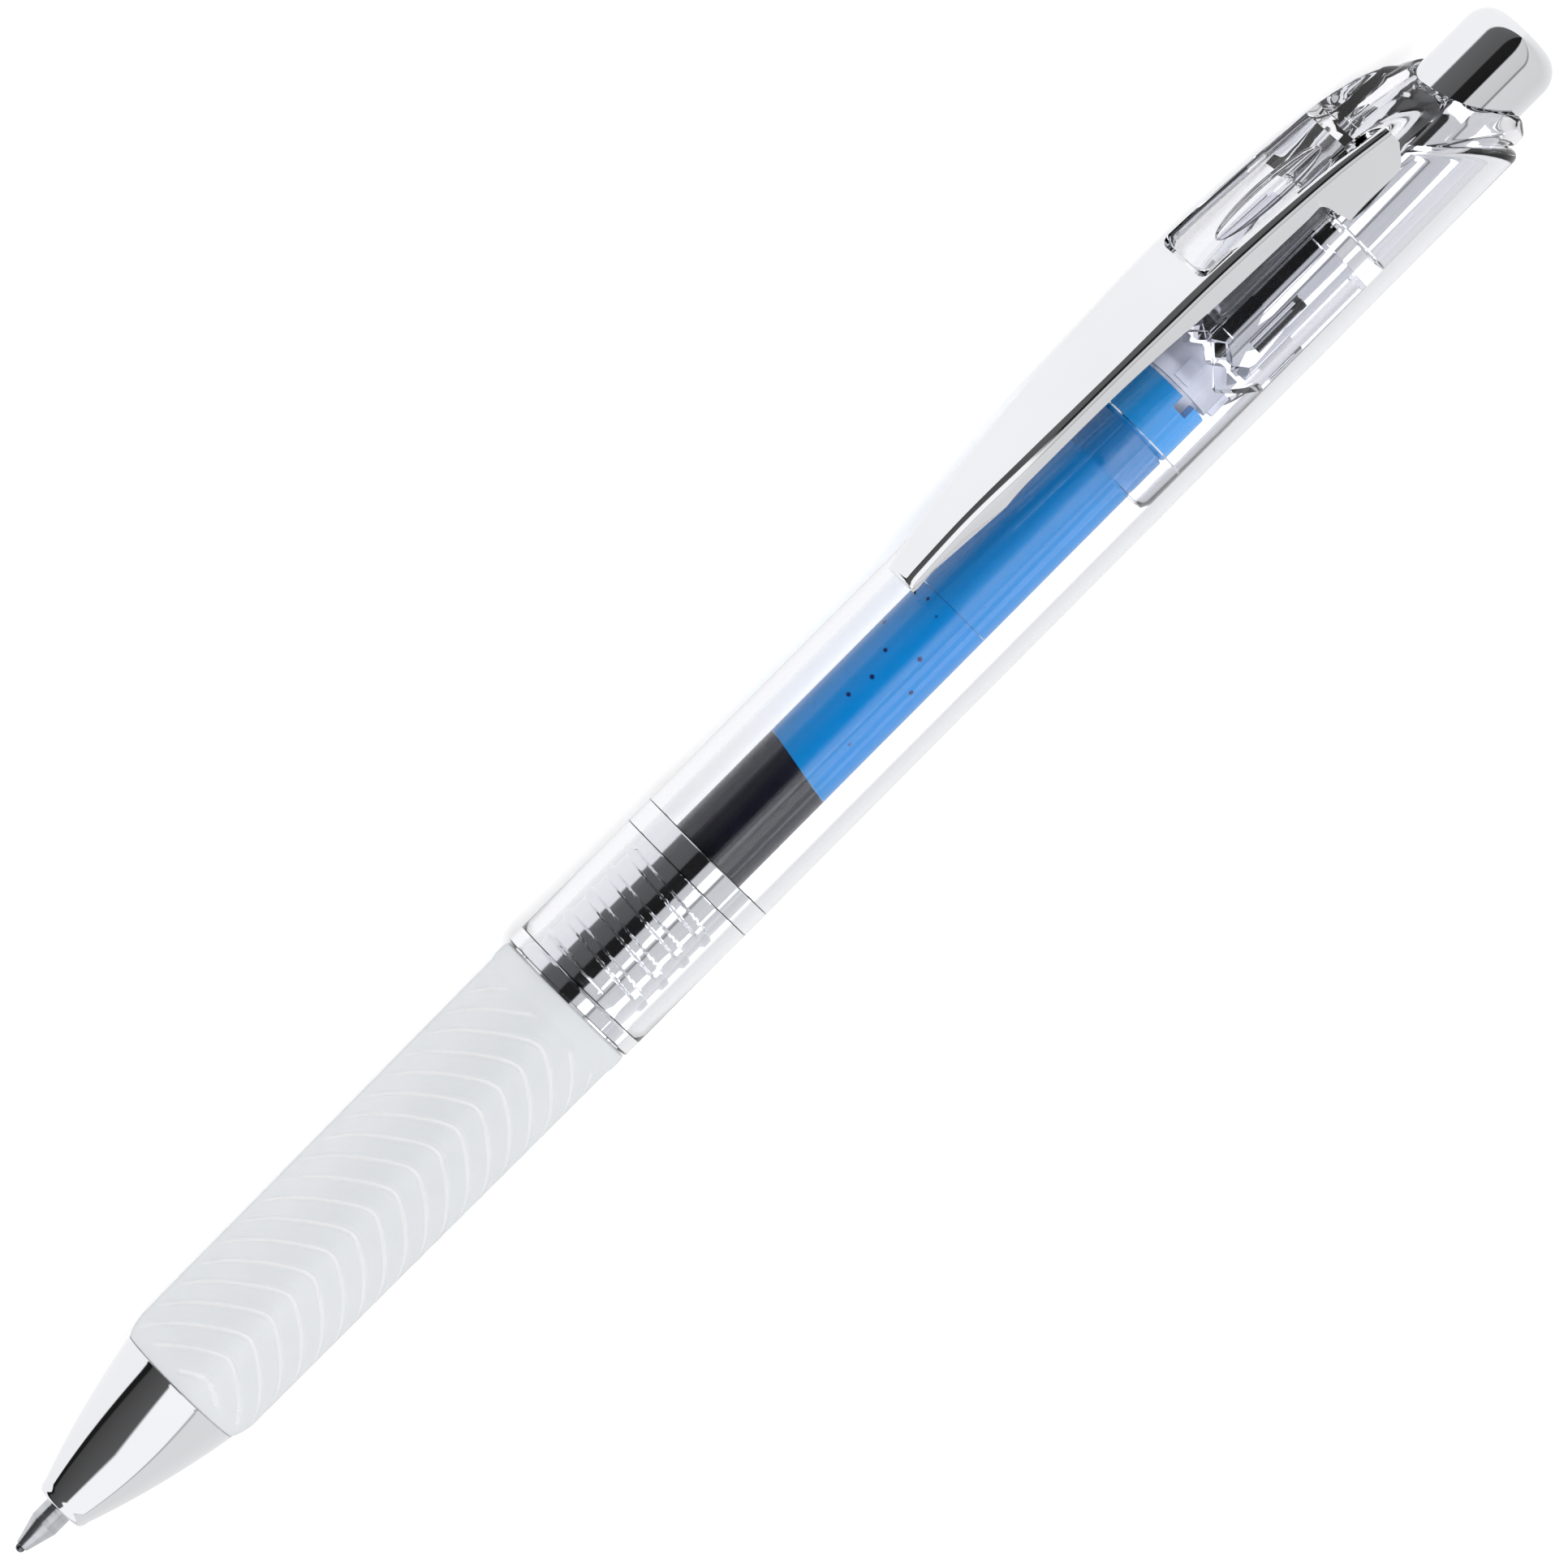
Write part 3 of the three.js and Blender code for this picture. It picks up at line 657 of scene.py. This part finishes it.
# The grooves are painted paler than the rubber: a painted highlight for the light their edges catch, laid
# over their real relief.
groove_highlight_share = silicone.node_tree.nodes.new("ShaderNodeAttribute")
groove_highlight_share.attribute_name = "groove_highlight"
painted_groove_highlight = colour_mix(silicone.node_tree.nodes)
painted_groove_highlight.inputs["B"].default_value = (0.99, 0.99, 0.99, 1)
links = silicone.node_tree.links
links.new(groove_highlight_share.outputs["Fac"], painted_groove_highlight.inputs["Factor"])
links.new(milk, painted_groove_highlight.inputs["A"])
links.new(painted_groove_highlight.outputs["Result"], shader.inputs["Base Color"])
links.new(grain(silicone, place, 400, 0.34, 0.42), shader.inputs["Roughness"])
shader.inputs["IOR"].default_value = 1.41
shader.inputs["Transmission Weight"].default_value = 0.45
dents(silicone, shader, grain(silicone, place, 2600, 0, 1), 0.15, 0.012 * MM)
let_light_through(silicone, shader, SLEEVE_LIGHT)
sleeve = spin("grip_sleeve", grip_outline, 260, 60)
# Each outer point's groove depth, kept on the sleeve to place the painted highlight in the grooves.
groove_highlight = sleeve.data.attributes.new("groove_highlight", "FLOAT", "POINT")
for vert in sleeve.data.vertices:
    out = vert.co - at(0, 0, 0)
    turn = math.atan2(-out.dot(SIDEWAYS), out.dot(CLIPWARD))
    depth = groove_depth(out.x / MM, turn) / GROOVE_DEPTH
    outside = min(1, max(0, out.yz.length / MM - 4.9) * 9)
    groove_highlight.data[vert.index].value = min(1, max(0, depth)) * outside
settle(sleeve, silicone, "shell", "grip_rubber", "grip")

# Barrel: one clear moulding, polished outside. Its bore is stepped at the thread, and its rear
# is cut on a slant with a rounded rim, and cut flat at the top for the clip and its holder.


def clear_plastic(name, tint, dull, ior):
    """Clear moulded plastic: polished, with a trace of flow marks and fine scratches of use."""
    material, shader, place = new_material(name)
    wear = grain(material, place, 350, dull * 0.4, dull * 1.8)
    material.node_tree.links.new(wear, shader.inputs["Roughness"])
    flow = grain(material, place, 70, 0, 1, stretch=(0.3, 1, 1))
    colour = two_tone(material, flow, tint, [min(1.0, c * 1.01) for c in tint])
    material.node_tree.links.new(colour, shader.inputs["Base Color"])
    shader.inputs["Transmission Weight"].default_value = 1.0
    shader.inputs["IOR"].default_value = ior
    scratches = grain(material, place, 1300, 0, 1, stretch=(0.08, 1, 1))
    dents(material, shader, scratches, 0.12, 0.004 * MM)
    let_light_through(material, shader, CLEAR_LIGHT)
    return material


CLEAR_LIGHT = 0.85
BARREL_RADIUS = span("barrel")[2]
BORE = 4.5
LAND_BORE = 4.36
THREAD_BORE = 4.46
MOUTH_RADIUS = 4.72
NOTCH_FRONT = 124.4
NOTCH_FLOOR = 3.4


def rim_station(height):
    """The station of the barrel's slanting rear rim at a height above the axis."""
    return 135.05 - 0.72 * height - 0.07 * height * height


def barrel_outline(angle):
    """The barrel's outline at an angle from the clip."""
    rear = rim_station(BARREL_RADIUS * math.cos(angle))
    inner_rear = rim_station(BORE * math.cos(angle))
    inner_rear = max(inner_rear, rear - 0.5)
    outline = [(BARREL_FRONT, MOUTH_RADIUS), (BARREL_FRONT + 0.02, 5.38)]
    outline += [(BARREL_FRONT + 0.14, BARREL_RADIUS)]
    outline += [(NOTCH_FRONT - 2, BARREL_RADIUS), (rear - 0.7, BARREL_RADIUS)]
    outline += bend((rear - 0.7, BARREL_RADIUS), (rear, BARREL_RADIUS), (rear, BARREL_RADIUS - 0.6), 6)[1:]
    outline += [(inner_rear, BORE), (NOTCH_FRONT - 2, BORE)]
    outline += [(65.45, BORE), (65.38, LAND_BORE), (63.45, LAND_BORE), (63.38, THREAD_BORE)]
    outline += [(54.0, THREAD_BORE), (53.4, 4.6), (53.33, MOUTH_RADIUS)]
    return outline


def combine(made, other, how):
    """Applies one exact boolean to a piece and drops the other object."""
    step = made.modifiers.new("combine", "BOOLEAN")
    step.operation = how
    step.solver = "EXACT"
    step.object = other
    bpy.context.view_layer.update()
    shaped = bpy.data.meshes.new_from_object(made.evaluated_get(bpy.context.evaluated_depsgraph_get()))
    made.modifiers.clear()
    old = made.data
    made.data = shaped
    bpy.data.meshes.remove(old)
    bpy.data.objects.remove(other)
    made.data.shade_smooth()
    made.data.set_sharp_from_angle(angle=math.radians(35))


def cut(made, cutter):
    """Takes the cutter's shape out of a piece, and the cutter out of the scene."""
    combine(made, cutter, "DIFFERENCE")


def bar(name, first, last, left, right, low, high, turn=0.0):
    """A straight-sided cutter, turned about the pen's axis."""
    build = bmesh.new()
    bmesh.ops.create_cube(build, size=1)
    for vert in build.verts:
        station = first if vert.co.x < 0 else last
        side = left if vert.co.y < 0 else right
        height = low if vert.co.z < 0 else high
        across_pen = side * math.cos(turn) - height * math.sin(turn)
        up_pen = side * math.sin(turn) + height * math.cos(turn)
        vert.co = at(station, across_pen, up_pen)
    return finish_mesh(name, build)


clear = clear_plastic("clear_shell", (0.95, 0.957, 0.975), 0.012, 1.43)
barrel = spin("barrel_tube", barrel_outline, 240, 40)
cut(barrel, bar("notch", NOTCH_FRONT, 140, -7, 7, NOTCH_FLOOR, 8))
settle(barrel, clear, "shell", "clear_shell", "barrel")

# Refill: an extruded tube, clear but for a trace of blue, with dark gel in its front half.
# Blue grease follows the gel, with a plastic float in it, and a long blue plug shuts the rear.
SPECK_SCALE = 700
SPECK_RADIUS = 0.09
SPECK_EDGE = 0.15


def speckled(material, place, colour, speck):
    """A colour with small round specks of another in it."""
    nodes = material.node_tree.nodes
    links = material.node_tree.links
    cells = nodes.new("ShaderNodeTexVoronoi")
    cells.inputs["Scale"].default_value = SPECK_SCALE
    links.new(place, cells.inputs["Vector"])
    edge = spread_over(nodes, SPECK_RADIUS, SPECK_EDGE)
    links.new(cells.outputs["Distance"], edge.inputs["Value"])
    mix = colour_mix(nodes)
    mix.inputs["A"].default_value = (*speck, 1)
    links.new(colour, mix.inputs["B"])
    links.new(edge.outputs["Result"], mix.inputs["Factor"])
    return mix.outputs["Result"]


def wet_filling(name, deep, pale, dull, speck=None):
    """A filling that wets the tube's wall: glossy, with faint swirls, and with specks if it has any."""
    material, shader, place = new_material(name)
    swirl = grain(material, place, 110, 0, 1, stretch=(0.25, 1, 1))
    colour = two_tone(material, swirl, deep, pale)
    if speck:
        colour = speckled(material, place, colour, speck)
    material.node_tree.links.new(colour, shader.inputs["Base Color"])
    material.node_tree.links.new(grain(material, place, 200, dull, dull * 1.5), shader.inputs["Roughness"])
    shader.inputs["IOR"].default_value = 1.45
    dents(material, shader, grain(material, place, 400, 0, 1), 0.08, 0.03 * MM)
    return material


front, rear, radius = span("refill_tube")
TUBE_BORE = 2.5
tube_outline = [(front, TUBE_BORE), (front, radius), (rear, radius), (rear, TUBE_BORE)]
tube = turned("ink_tube", tube_outline, 0.05, 144)
tube_clear = clear_plastic("tube_plastic", (0.93, 0.95, 0.985), 0.05, 1.47)
settle(tube, tube_clear, "refill", "refill_blue", "refill_tube")

gel_front, gel_rear, _ = span("ink")
WETTED = TUBE_BORE + 0.01
SLANT = 0.5
SLANT_TURN = math.radians(45)
GEL_REAR = gel_rear + 0.1
GREASE_FRONT = gel_rear + 0.12


def gel_outline(angle):
    """The gel's outline at an angle: its rear face leans a little, as the pen was left lying."""
    lean = GEL_REAR + SLANT * math.cos(angle + SLANT_TURN)
    return [(gel_front, 0), (gel_front, WETTED), (lean, WETTED), (GEL_REAR, 0)]


gel = spin("gel", gel_outline, 96)
gel_dark = wet_filling("dark_gel", (0.006, 0.006, 0.014), (0.014, 0.013, 0.026), 0.12)
settle(gel, gel_dark, "refill", "ink_gel", "ink")

grease_rear = span("ink_follower")[1]
float_front, float_rear, float_radius = span("follower_float")
CAVITY_FRONT = float_front - 0.05
CAVITY_REAR = float_rear + 0.05
CAVITY_RADIUS = float_radius + 0.02


def grease_outline(angle):
    """The grease's outline at an angle, round the float."""
    lean = GREASE_FRONT + SLANT * math.cos(angle + SLANT_TURN)
    return [
        (GREASE_FRONT, 0), (lean, WETTED), (grease_rear, WETTED), (grease_rear, 0), (CAVITY_REAR, 0),
        (CAVITY_REAR, CAVITY_RADIUS), (CAVITY_FRONT, CAVITY_RADIUS), (CAVITY_FRONT, 0),
    ]


grease = spin("grease", grease_outline, 96)
grease_blue = wet_filling(
    "blue_grease", (0.0, 0.30, 0.78), (0.0, 0.34, 0.83), 0.12, speck=(0.0, 0.01, 0.12)
)
settle(grease, grease_blue, "refill", "follower_grease", "ink_follower")

float_outline = (
    bend((float_front, 0), (float_front, float_radius), (float_front + 1.4, float_radius), 10)
    + [(float_rear, float_radius), (float_rear, 0)]
)
float_piece = turned("grease_float", float_outline, 0.15, 72)
float_blue = wet_filling("float_plastic", (0.0, 0.24, 0.80), (0.0, 0.28, 0.84), 0.2)
settle(float_piece, float_blue, "refill", "float_plastic", "follower_float")

_, rear, radius = span("tail_plug")
PLUG_FACE = grease_rear + 0.02
PLUG_SHOULDER = 105.8
PLUG_NECK = PLUG_SHOULDER - 0.2
PLUG_BORE = 1.7
STUB_FRONT = span("cam_rotor")[0] - 0.1
STUB_BORE = 2.15
TAIL_NOTCH = 0.95
TAIL_NOTCH_HALF = 0.6
TAIL_NOTCH_TURN = -0.31
plug_outline = [
    (PLUG_FACE, PLUG_BORE), (PLUG_FACE, WETTED), (PLUG_NECK, WETTED), (PLUG_NECK, WETTED + 0.1),
    (PLUG_SHOULDER, radius), (rear, radius), (rear, STUB_BORE), (STUB_FRONT, STUB_BORE),
    (STUB_FRONT, PLUG_BORE),
]
plug = turned("tail_plug_body", plug_outline, 0.07, 144)
cut(plug, bar(
    "notch", rear - TAIL_NOTCH, rear + 1, -4, 4, -TAIL_NOTCH_HALF, TAIL_NOTCH_HALF, TAIL_NOTCH_TURN
))
plug_blue = wet_filling("plug_blue", (0.0, 0.30, 0.77), (0.0, 0.34, 0.82), 0.15)
settle(plug, plug_blue, "refill", "tail_blue", "tail_plug")

# Cam rotor: a small frosted crown behind the refill. Its stub stands in the tail plug, and the
# plunger's crown and the guide sleeve's ramps turn it by one step at each click.
front, rear, _ = span("cam_rotor")
ROTOR_FRONT = 109.8
ROTOR_RADIUS = 2.75
ROTOR_BORE = 1.9
ROTOR_FLOOR = 110.9
STUB_RADIUS = 2.05
LUG_RADIUS = 3.2
LUG_TURN = 57
LUG_WIDTH = 24
CROWN_TEETH = 8
CROWN_DEPTH = 0.8
CREST_TURN = math.radians(31)
FROSTED_LIGHT = 0.5


def frosted_plastic(name, deep, pale, dull):
    """A frosted moulding that scatters what is behind it."""
    material, shader, place = new_material(name)
    cloud = grain(material, place, 240, 0, 1)
    material.node_tree.links.new(two_tone(material, cloud, deep, pale), shader.inputs["Base Color"])
    roughness = grain(material, place, 500, dull * 0.8, dull * 1.2)
    material.node_tree.links.new(roughness, shader.inputs["Roughness"])
    shader.inputs["Transmission Weight"].default_value = 0.6
    shader.inputs["IOR"].default_value = 1.45
    dents(material, shader, grain(material, place, 1800, 0, 1), 0.2, 0.02 * MM)
    let_light_through(material, shader, FROSTED_LIGHT)
    return material


def teeth(angle, count):
    """A saw of count teeth round a circle, from 0 to 1 and back, with a crest at CREST_TURN."""
    share = ((angle - CREST_TURN) * count / (2 * math.pi) + 0.5) % 1
    return 1 - abs(2 * share - 1)


def on_lug(angle, turn, width):
    """Whether an angle lies on one of four lugs, width degrees wide, that start turn degrees back."""
    return (math.degrees(angle) + turn) % 90 < width


def rotor_outline(angle):
    """The rotor's outline at an angle, with its crown and its four lugs."""
    crown = rear - CROWN_DEPTH * (1 - teeth(angle, CROWN_TEETH))
    lug = LUG_RADIUS if on_lug(angle, LUG_TURN, LUG_WIDTH) else ROTOR_RADIUS
    return [
        (front, 0), (front, STUB_RADIUS), (ROTOR_FRONT, STUB_RADIUS), (ROTOR_FRONT, ROTOR_RADIUS),
        (110.1, ROTOR_RADIUS + 0.01), (110.12, lug), (111.7, lug), (111.72, ROTOR_RADIUS),
        (crown, ROTOR_RADIUS), (crown, ROTOR_BORE), (ROTOR_FLOOR, ROTOR_BORE), (ROTOR_FLOOR, 0),
    ]


frosted = frosted_plastic("frosted_lilac", (0.84, 0.86, 0.97), (0.90, 0.92, 0.99), 0.4)
rotor = spin("rotor_crown", rotor_outline, 144)
settle(rotor, frosted, "rotor", "frosted_lilac", "cam_rotor")

# Plunger: a mirror-plated tube pressed into the button. Its front edge is a crown that meets
# the rotor's, four keys guide it, and a window is cut in its side.
plunger_plate = mirror_plate("plunger_plate", (0.84, 0.845, 0.86), 0.04, 0.4)
front, rear, _ = span("plunger")
PLUNGER_RADIUS = 3.1
PLUNGER_BORE = 2.3
PLUNGER_EDGE = 0.1
KEY_RADIUS = 3.5
KEY_TURN = 54
KEY_WIDTH = 18
KEY_FRONT = 114.5
KEY_REAR = 117.5
WINDOW_FRONT = 115.1
WINDOW_REAR = 119.6
WINDOW_HALF = 0.55
WINDOW_TURN = -0.17


def plunger_outline(angle):
    """The plunger's outline at an angle."""
    crown = front + CROWN_DEPTH * (1 - teeth(angle, CROWN_TEETH))
    key_top = KEY_RADIUS if on_lug(angle, KEY_TURN, KEY_WIDTH) else PLUNGER_RADIUS
    edge_radius = PLUNGER_RADIUS - PLUNGER_EDGE
    return [
        (crown, PLUNGER_BORE), (crown, edge_radius), (crown + PLUNGER_EDGE, PLUNGER_RADIUS),
        (KEY_FRONT, PLUNGER_RADIUS + 0.01), (KEY_FRONT + 0.05, key_top), (KEY_REAR - 0.05, key_top),
        (KEY_REAR, PLUNGER_RADIUS + 0.01), (rear - PLUNGER_EDGE, PLUNGER_RADIUS), (rear, edge_radius),
        (rear, PLUNGER_BORE),
    ]


plunger = spin("plunger_tube", plunger_outline, 180)
cut(plunger, bar("window", WINDOW_FRONT, WINDOW_REAR, -5, 5, -WINDOW_HALF, WINDOW_HALF, WINDOW_TURN))
settle(plunger, plunger_plate, "button", "bright_chrome", "plunger")

# Guide sleeve: a clear moulding pressed into the barrel. Its bore has four grooves for the
# plunger's keys, and a ring of ramps at their front ends that the rotor's lugs climb.
front, rear, radius = span("guide_sleeve")
RAMP_MIDDLE = 112.4
RAMP_REACH = 1.3
GUIDE_FRONT_BORE = 3.75
GUIDE_BORE = 3.38
GROOVE_BORE = 3.72
LUG_ROOM = 3.9


def guide_outline(angle):
    """The sleeve's outline at an angle."""
    ramp = RAMP_MIDDLE + RAMP_REACH * (teeth(angle, 4) - 0.5) * 2
    bore = GROOVE_BORE if on_lug(angle, LUG_TURN, LUG_WIDTH) else GUIDE_BORE
    return [
        (front, GUIDE_FRONT_BORE), (front + 0.05, 4.1), (front + 0.65, radius), (rear, radius),
        (rear, GUIDE_BORE), (122.95, GUIDE_BORE), (122.9, bore), (ramp + 0.1, bore), (ramp, LUG_ROOM),
        (105.8, LUG_ROOM), (105.7, GUIDE_FRONT_BORE),
    ]


guide = spin("guide_tube", guide_outline, 180)
guide_clear = clear_plastic("guide_plastic", (0.95, 0.955, 0.985), 0.03, 1.3)
settle(guide, guide_clear, "shell", "clear_shell", "guide_sleeve")

# Push button: a drawn cap, mirror plated, with a full round edge and a small flat end. It is
# pressed on to the plunger's rear end and slides in the holder's collar.
button_plate = mirror_plate("button_plate", (0.86, 0.865, 0.88), 0.035, 0.25)
front, rear, radius = span("push_button")
FILLET = 1.95
FILLET_STEPS = 16
CAP_BORE = 3.2
CAP_FLOOR = 132
button_outline = [(CAP_FLOOR, 0), (CAP_FLOOR, CAP_BORE), (front, CAP_BORE), (front, radius)]
for i in range(FILLET_STEPS + 1):
    spot = math.pi / 2 * i / FILLET_STEPS
    along_pen = rear - FILLET + FILLET * math.sin(spot)
    button_outline.append((along_pen, radius - FILLET + FILLET * math.cos(spot)))
button_outline.append((rear, 0))
button = turned("button_cap", button_outline, 0.08, 180)
settle(button, button_plate, "button", "bright_chrome", "push_button")

# Clip: one pressed sheet, mirror plated. A channel with a flat top and leaning shoulders that
# narrows to a turned-down tip, open at the rear in a fork whose cheeks sit in the barrel's notch.
TOP_LINE = ((87.5, 5.72), (87.62, 5.98), (87.9, 6.12), (88.9, 6.3), (93.6, 6.92), (99.3, 7.43),
            (107.3, 7.80), (114.1, 7.88), (119.1, 7.66), (126.6, 6.92), (131.4, 6.0))
FLAT_LINE = ((87.5, 0.95), (93.6, 1.46), (99.3, 2.05), (107.3, 2.62), (114.1, 2.78), (126.0, 2.95),
             (131.4, 2.95))
CHEEK_LINE = ((87.5, 1.5), (93.6, 2.0), (99.3, 2.68), (107.3, 3.18), (114.1, 3.42), (126.0, 3.46),
              (131.4, 3.4))
FOOT_LINE = ((87.5, 5.55), (95.6, 5.5), (97.6, 5.95), (104.0, 6.4), (110.0, 6.4), (115.4, 6.0),
             (124.0, 5.6), (124.9, 5.45), (125.5, 3.45), (129.8, 3.45), (130.7, 3.7), (131.4, 4.6))
SHEET = 0.42


def along(line, station):
    """A smooth value at a station, on the curve through a line's points."""
    count = len(line)
    i = max(0, min(count - 2, next((k for k in range(count - 1) if station <= line[k + 1][0]), count - 2)))
    (x0, y0), (x1, y1) = line[i], line[i + 1]
    before = line[max(0, i - 1)]
    after = line[min(count - 1, i + 2)]
    slope0 = (y1 - before[1]) / (x1 - before[0])
    slope1 = (after[1] - y0) / (after[0] - x0)
    t = min(max((station - x0) / (x1 - x0), 0), 1)
    reach = x1 - x0
    return (
        (2 * t**3 - 3 * t**2 + 1) * y0 + (t**3 - 2 * t**2 + t) * reach * slope0
        + (3 * t**2 - 2 * t**3) * y1 + (t**3 - t**2) * reach * slope1
    )


def blend_step(value, low, high):
    """0 below low and 1 above high, with a smooth rise between."""
    t = min(max((value - low) / (high - low), 0), 1)
    return t * t * (3 - 2 * t)


def clip_section(station, inset):
    """The clip's outline across the pen at a station, shrunk by inset: (side, height) points."""
    half = along(CHEEK_LINE, station) - inset
    flat = along(FLAT_LINE, station) - inset * 0.7
    top = along(TOP_LINE, station) - inset
    foot = along(FOOT_LINE, station) - (2 if inset else 0)
    lean = (along(CHEEK_LINE, station) - along(FLAT_LINE, station)) * 0.48
    corner = top - lean
    flare = 0.7 * blend_step(station, 124.5, 125.5) * (1 - blend_step(station, 130, 131.4))
    right = [(half + flare * (1.9 if inset else 1), foot), (half, corner - 0.60)]
    right += bend((half, corner - 0.58), (half, corner), (half - 0.4, corner + 0.18), 9)
    right += bend((flat + 0.05, top - 0.03), (flat, top), (flat - 0.06, top + 0.005), 3)
    right += [(flat * 0.5, top + 0.05)]
    left = [(-side, height) for side, height in reversed(right)]
    return right + [(0, top + 0.06)] + left


def loft(name, stations, section_at):
    """A closed solid through cross-sections with the same number of points."""
    build = bmesh.new()
    rings = [[build.verts.new(at(s, side, height)) for side, height in section_at(s)] for s in stations]
    for here, there in zip(rings, rings[1:]):
        for j in range(len(here)):
            k = (j + 1) % len(here)
            build.faces.new((here[j], here[k], there[k], there[j]))
    build.faces.new(rings[0])
    build.faces.new(rings[-1])
    return finish_mesh(name, build)


def steps_between(first, last, step):
    """Evenly spaced stations from first to last."""
    count = max(1, round((last - first) / step))
    return [first + (last - first) * i / count for i in range(count + 1)]


TONGUE_HALF = 2.42
TONGUE_FRONT = 115.9
TONGUE_CORNER = 0.85
FORK_GAP = 0.28


def slot_plan(front, rear, half, low_of, high_of):
    """A bar with rounded front corners, between two heights that may change with the station."""
    round_end = front + TONGUE_CORNER
    plan = bend((front, -half + TONGUE_CORNER), (front, -half), (round_end, -half), 10)
    plan += [(s, -half) for s in steps_between(round_end, rear, 1.0)[1:]]
    plan += [(s, -side) for s, side in reversed(plan)]
    build = bmesh.new()
    lower = [build.verts.new(at(s, side, low_of(s))) for s, side in plan]
    upper = [build.verts.new(at(s, side, high_of(s))) for s, side in plan]
    for j in range(len(plan)):
        k = (j + 1) % len(plan)
        build.faces.new((lower[j], lower[k], upper[k], upper[j]))
    bottom = build.faces.new(lower)
    top = build.faces.new(upper)
    bmesh.ops.triangulate(build, faces=[bottom, top])
    return finish_mesh("bar", build)


clip_front, clip_rear = span("clip")[0], span("clip")[1]
clip_stations = steps_between(clip_front, 89, 0.1) + steps_between(89, 124.5, 1.0)[1:]
clip_stations += steps_between(124.5, clip_rear, 0.15)[1:]
clip = loft("spring_clip", clip_stations, lambda s: clip_section(s, 0))
hollow_stations = [s for s in clip_stations if s > clip_front + 0.6] + [clip_rear + 1]
cut(clip, loft("hollow", hollow_stations, lambda s: clip_section(s, SHEET)))
cut(clip, slot_plan(TONGUE_FRONT - FORK_GAP, 133, TONGUE_HALF + FORK_GAP, lambda s: 2, lambda s: 9))
clip_plate = mirror_plate("clip_plate", (0.88, 0.885, 0.90), 0.04, 0.3)
settle(clip, clip_plate, "clip", "clip_chrome", "clip")

# Clip holder: a clear moulding plugged into the barrel's rear. A hood closes the slanting rim,
# a collar runs round the button, and a tongue reaches forward and fills the clip's fork.
HUMP_LINE = ((115.9, 8.0), (119.1, 7.86), (126.6, 7.2), (129.7, 6.85), (132.2, 6.05), (133.6, 5.3),
             (134.9, 4.4), (136.2, 3.9), (137.2, 3.7))
COLLAR_RADIUS = 4.75
HOOD_BORE = 3.85
HOOD_HALF = 2.7
HOOD_STEPS = 18
PLUG_FRONT = 124.9
PLUG_RADIUS = 4.4
LENS_FRONT = 118.2
LENS_REAR = 127.6
LENS_HALF = 1.25
LENS_DEPTH = 0.8


def hood_radius(angle, station):
    """The hood's outer radius: a round collar with a hump under the clip."""
    away = abs((angle + math.pi) % (2 * math.pi) - math.pi)
    if away > 1.4:
        return COLLAR_RADIUS
    top = along(HUMP_LINE, station) / math.cos(away)
    flank = (HOOD_HALF + 0.25 * blend_step(station, 129, 133)) / max(0.02, math.sin(away))
    lift = (top ** -12 + flank ** -12) ** (-1 / 12)
    return (COLLAR_RADIUS ** 14 + lift ** 14) ** (1 / 14)


def opening_station(height):
    """The station of the collar's slanting mouth round the button."""
    slant = 137.25 - 0.6 * height
    return min(slant, 138.0 + 0.3 * (1 - math.exp(min(0, 138.0 - slant))))


def hood_outline(angle):
    """The holder's outline at an angle."""
    rim = max(rim_station(BARREL_RADIUS * math.cos(angle)) + 0.1, PLUG_FRONT + 4.4)
    mouth = opening_station(COLLAR_RADIUS * math.cos(angle))
    bore_mouth = opening_station(HOOD_BORE * math.cos(angle)) - 0.1
    outline = [(PLUG_FRONT, HOOD_BORE), (PLUG_FRONT, 4.3), (PLUG_FRONT + 0.1, PLUG_RADIUS)]
    outline.append((rim, PLUG_RADIUS))
    for i in range(HOOD_STEPS + 1):
        station = rim + 0.02 + (mouth - 0.55 - rim) * i / HOOD_STEPS
        rise = min(1, (i + 0.5) / 3) ** 0.5
        outline.append((station, PLUG_RADIUS + (hood_radius(angle, station) - PLUG_RADIUS) * rise))
    last = outline[-1]
    lip = 0.6 + 0.5 * math.cos(angle)
    outline += bend(last, (mouth - 0.1, last[1]), (mouth + lip, 4.05), 8)[1:]
    outline.append((max(mouth + lip - 0.05, bore_mouth), HOOD_BORE))
    return outline


holder_clear = clear_plastic("holder_plastic", (0.965, 0.965, 0.985), 0.012, 1.4)
hood = spin("clip_hood", hood_outline, 240, 30)
tongue = slot_plan(
    TONGUE_FRONT, 133.5, TONGUE_HALF,
    lambda s: max(4.2, along(HUMP_LINE, s) - 1.5 - 1.7 * blend_step(s, 128.6, 129.6)),
    lambda s: along(HUMP_LINE, s) - 0.02,
)
shave = tongue.modifiers.new("edges", "BEVEL")
shave.width = 0.42 * MM
shave.segments = 4
shave.angle_limit = math.radians(50)


def lens_section(station):
    """The long hollow under the tongue, across the pen at a station."""
    share = (station - (LENS_FRONT + LENS_REAR) / 2) / ((LENS_REAR - LENS_FRONT) / 2)
    full = math.sqrt(max(0.002, 1 - share * share))
    base = along(HUMP_LINE, station) - 1.55
    turns = [2 * math.pi * i / 20 for i in range(20)]
    return [(LENS_HALF * full * math.cos(t), base + LENS_DEPTH * full * math.sin(t)) for t in turns]


cut(tongue, loft("lens", steps_between(LENS_FRONT, LENS_REAR, 0.25), lens_section))
combine(hood, tongue, "UNION")
settle(hood, holder_clear, "shell", "clear_shell", "clip_holder")
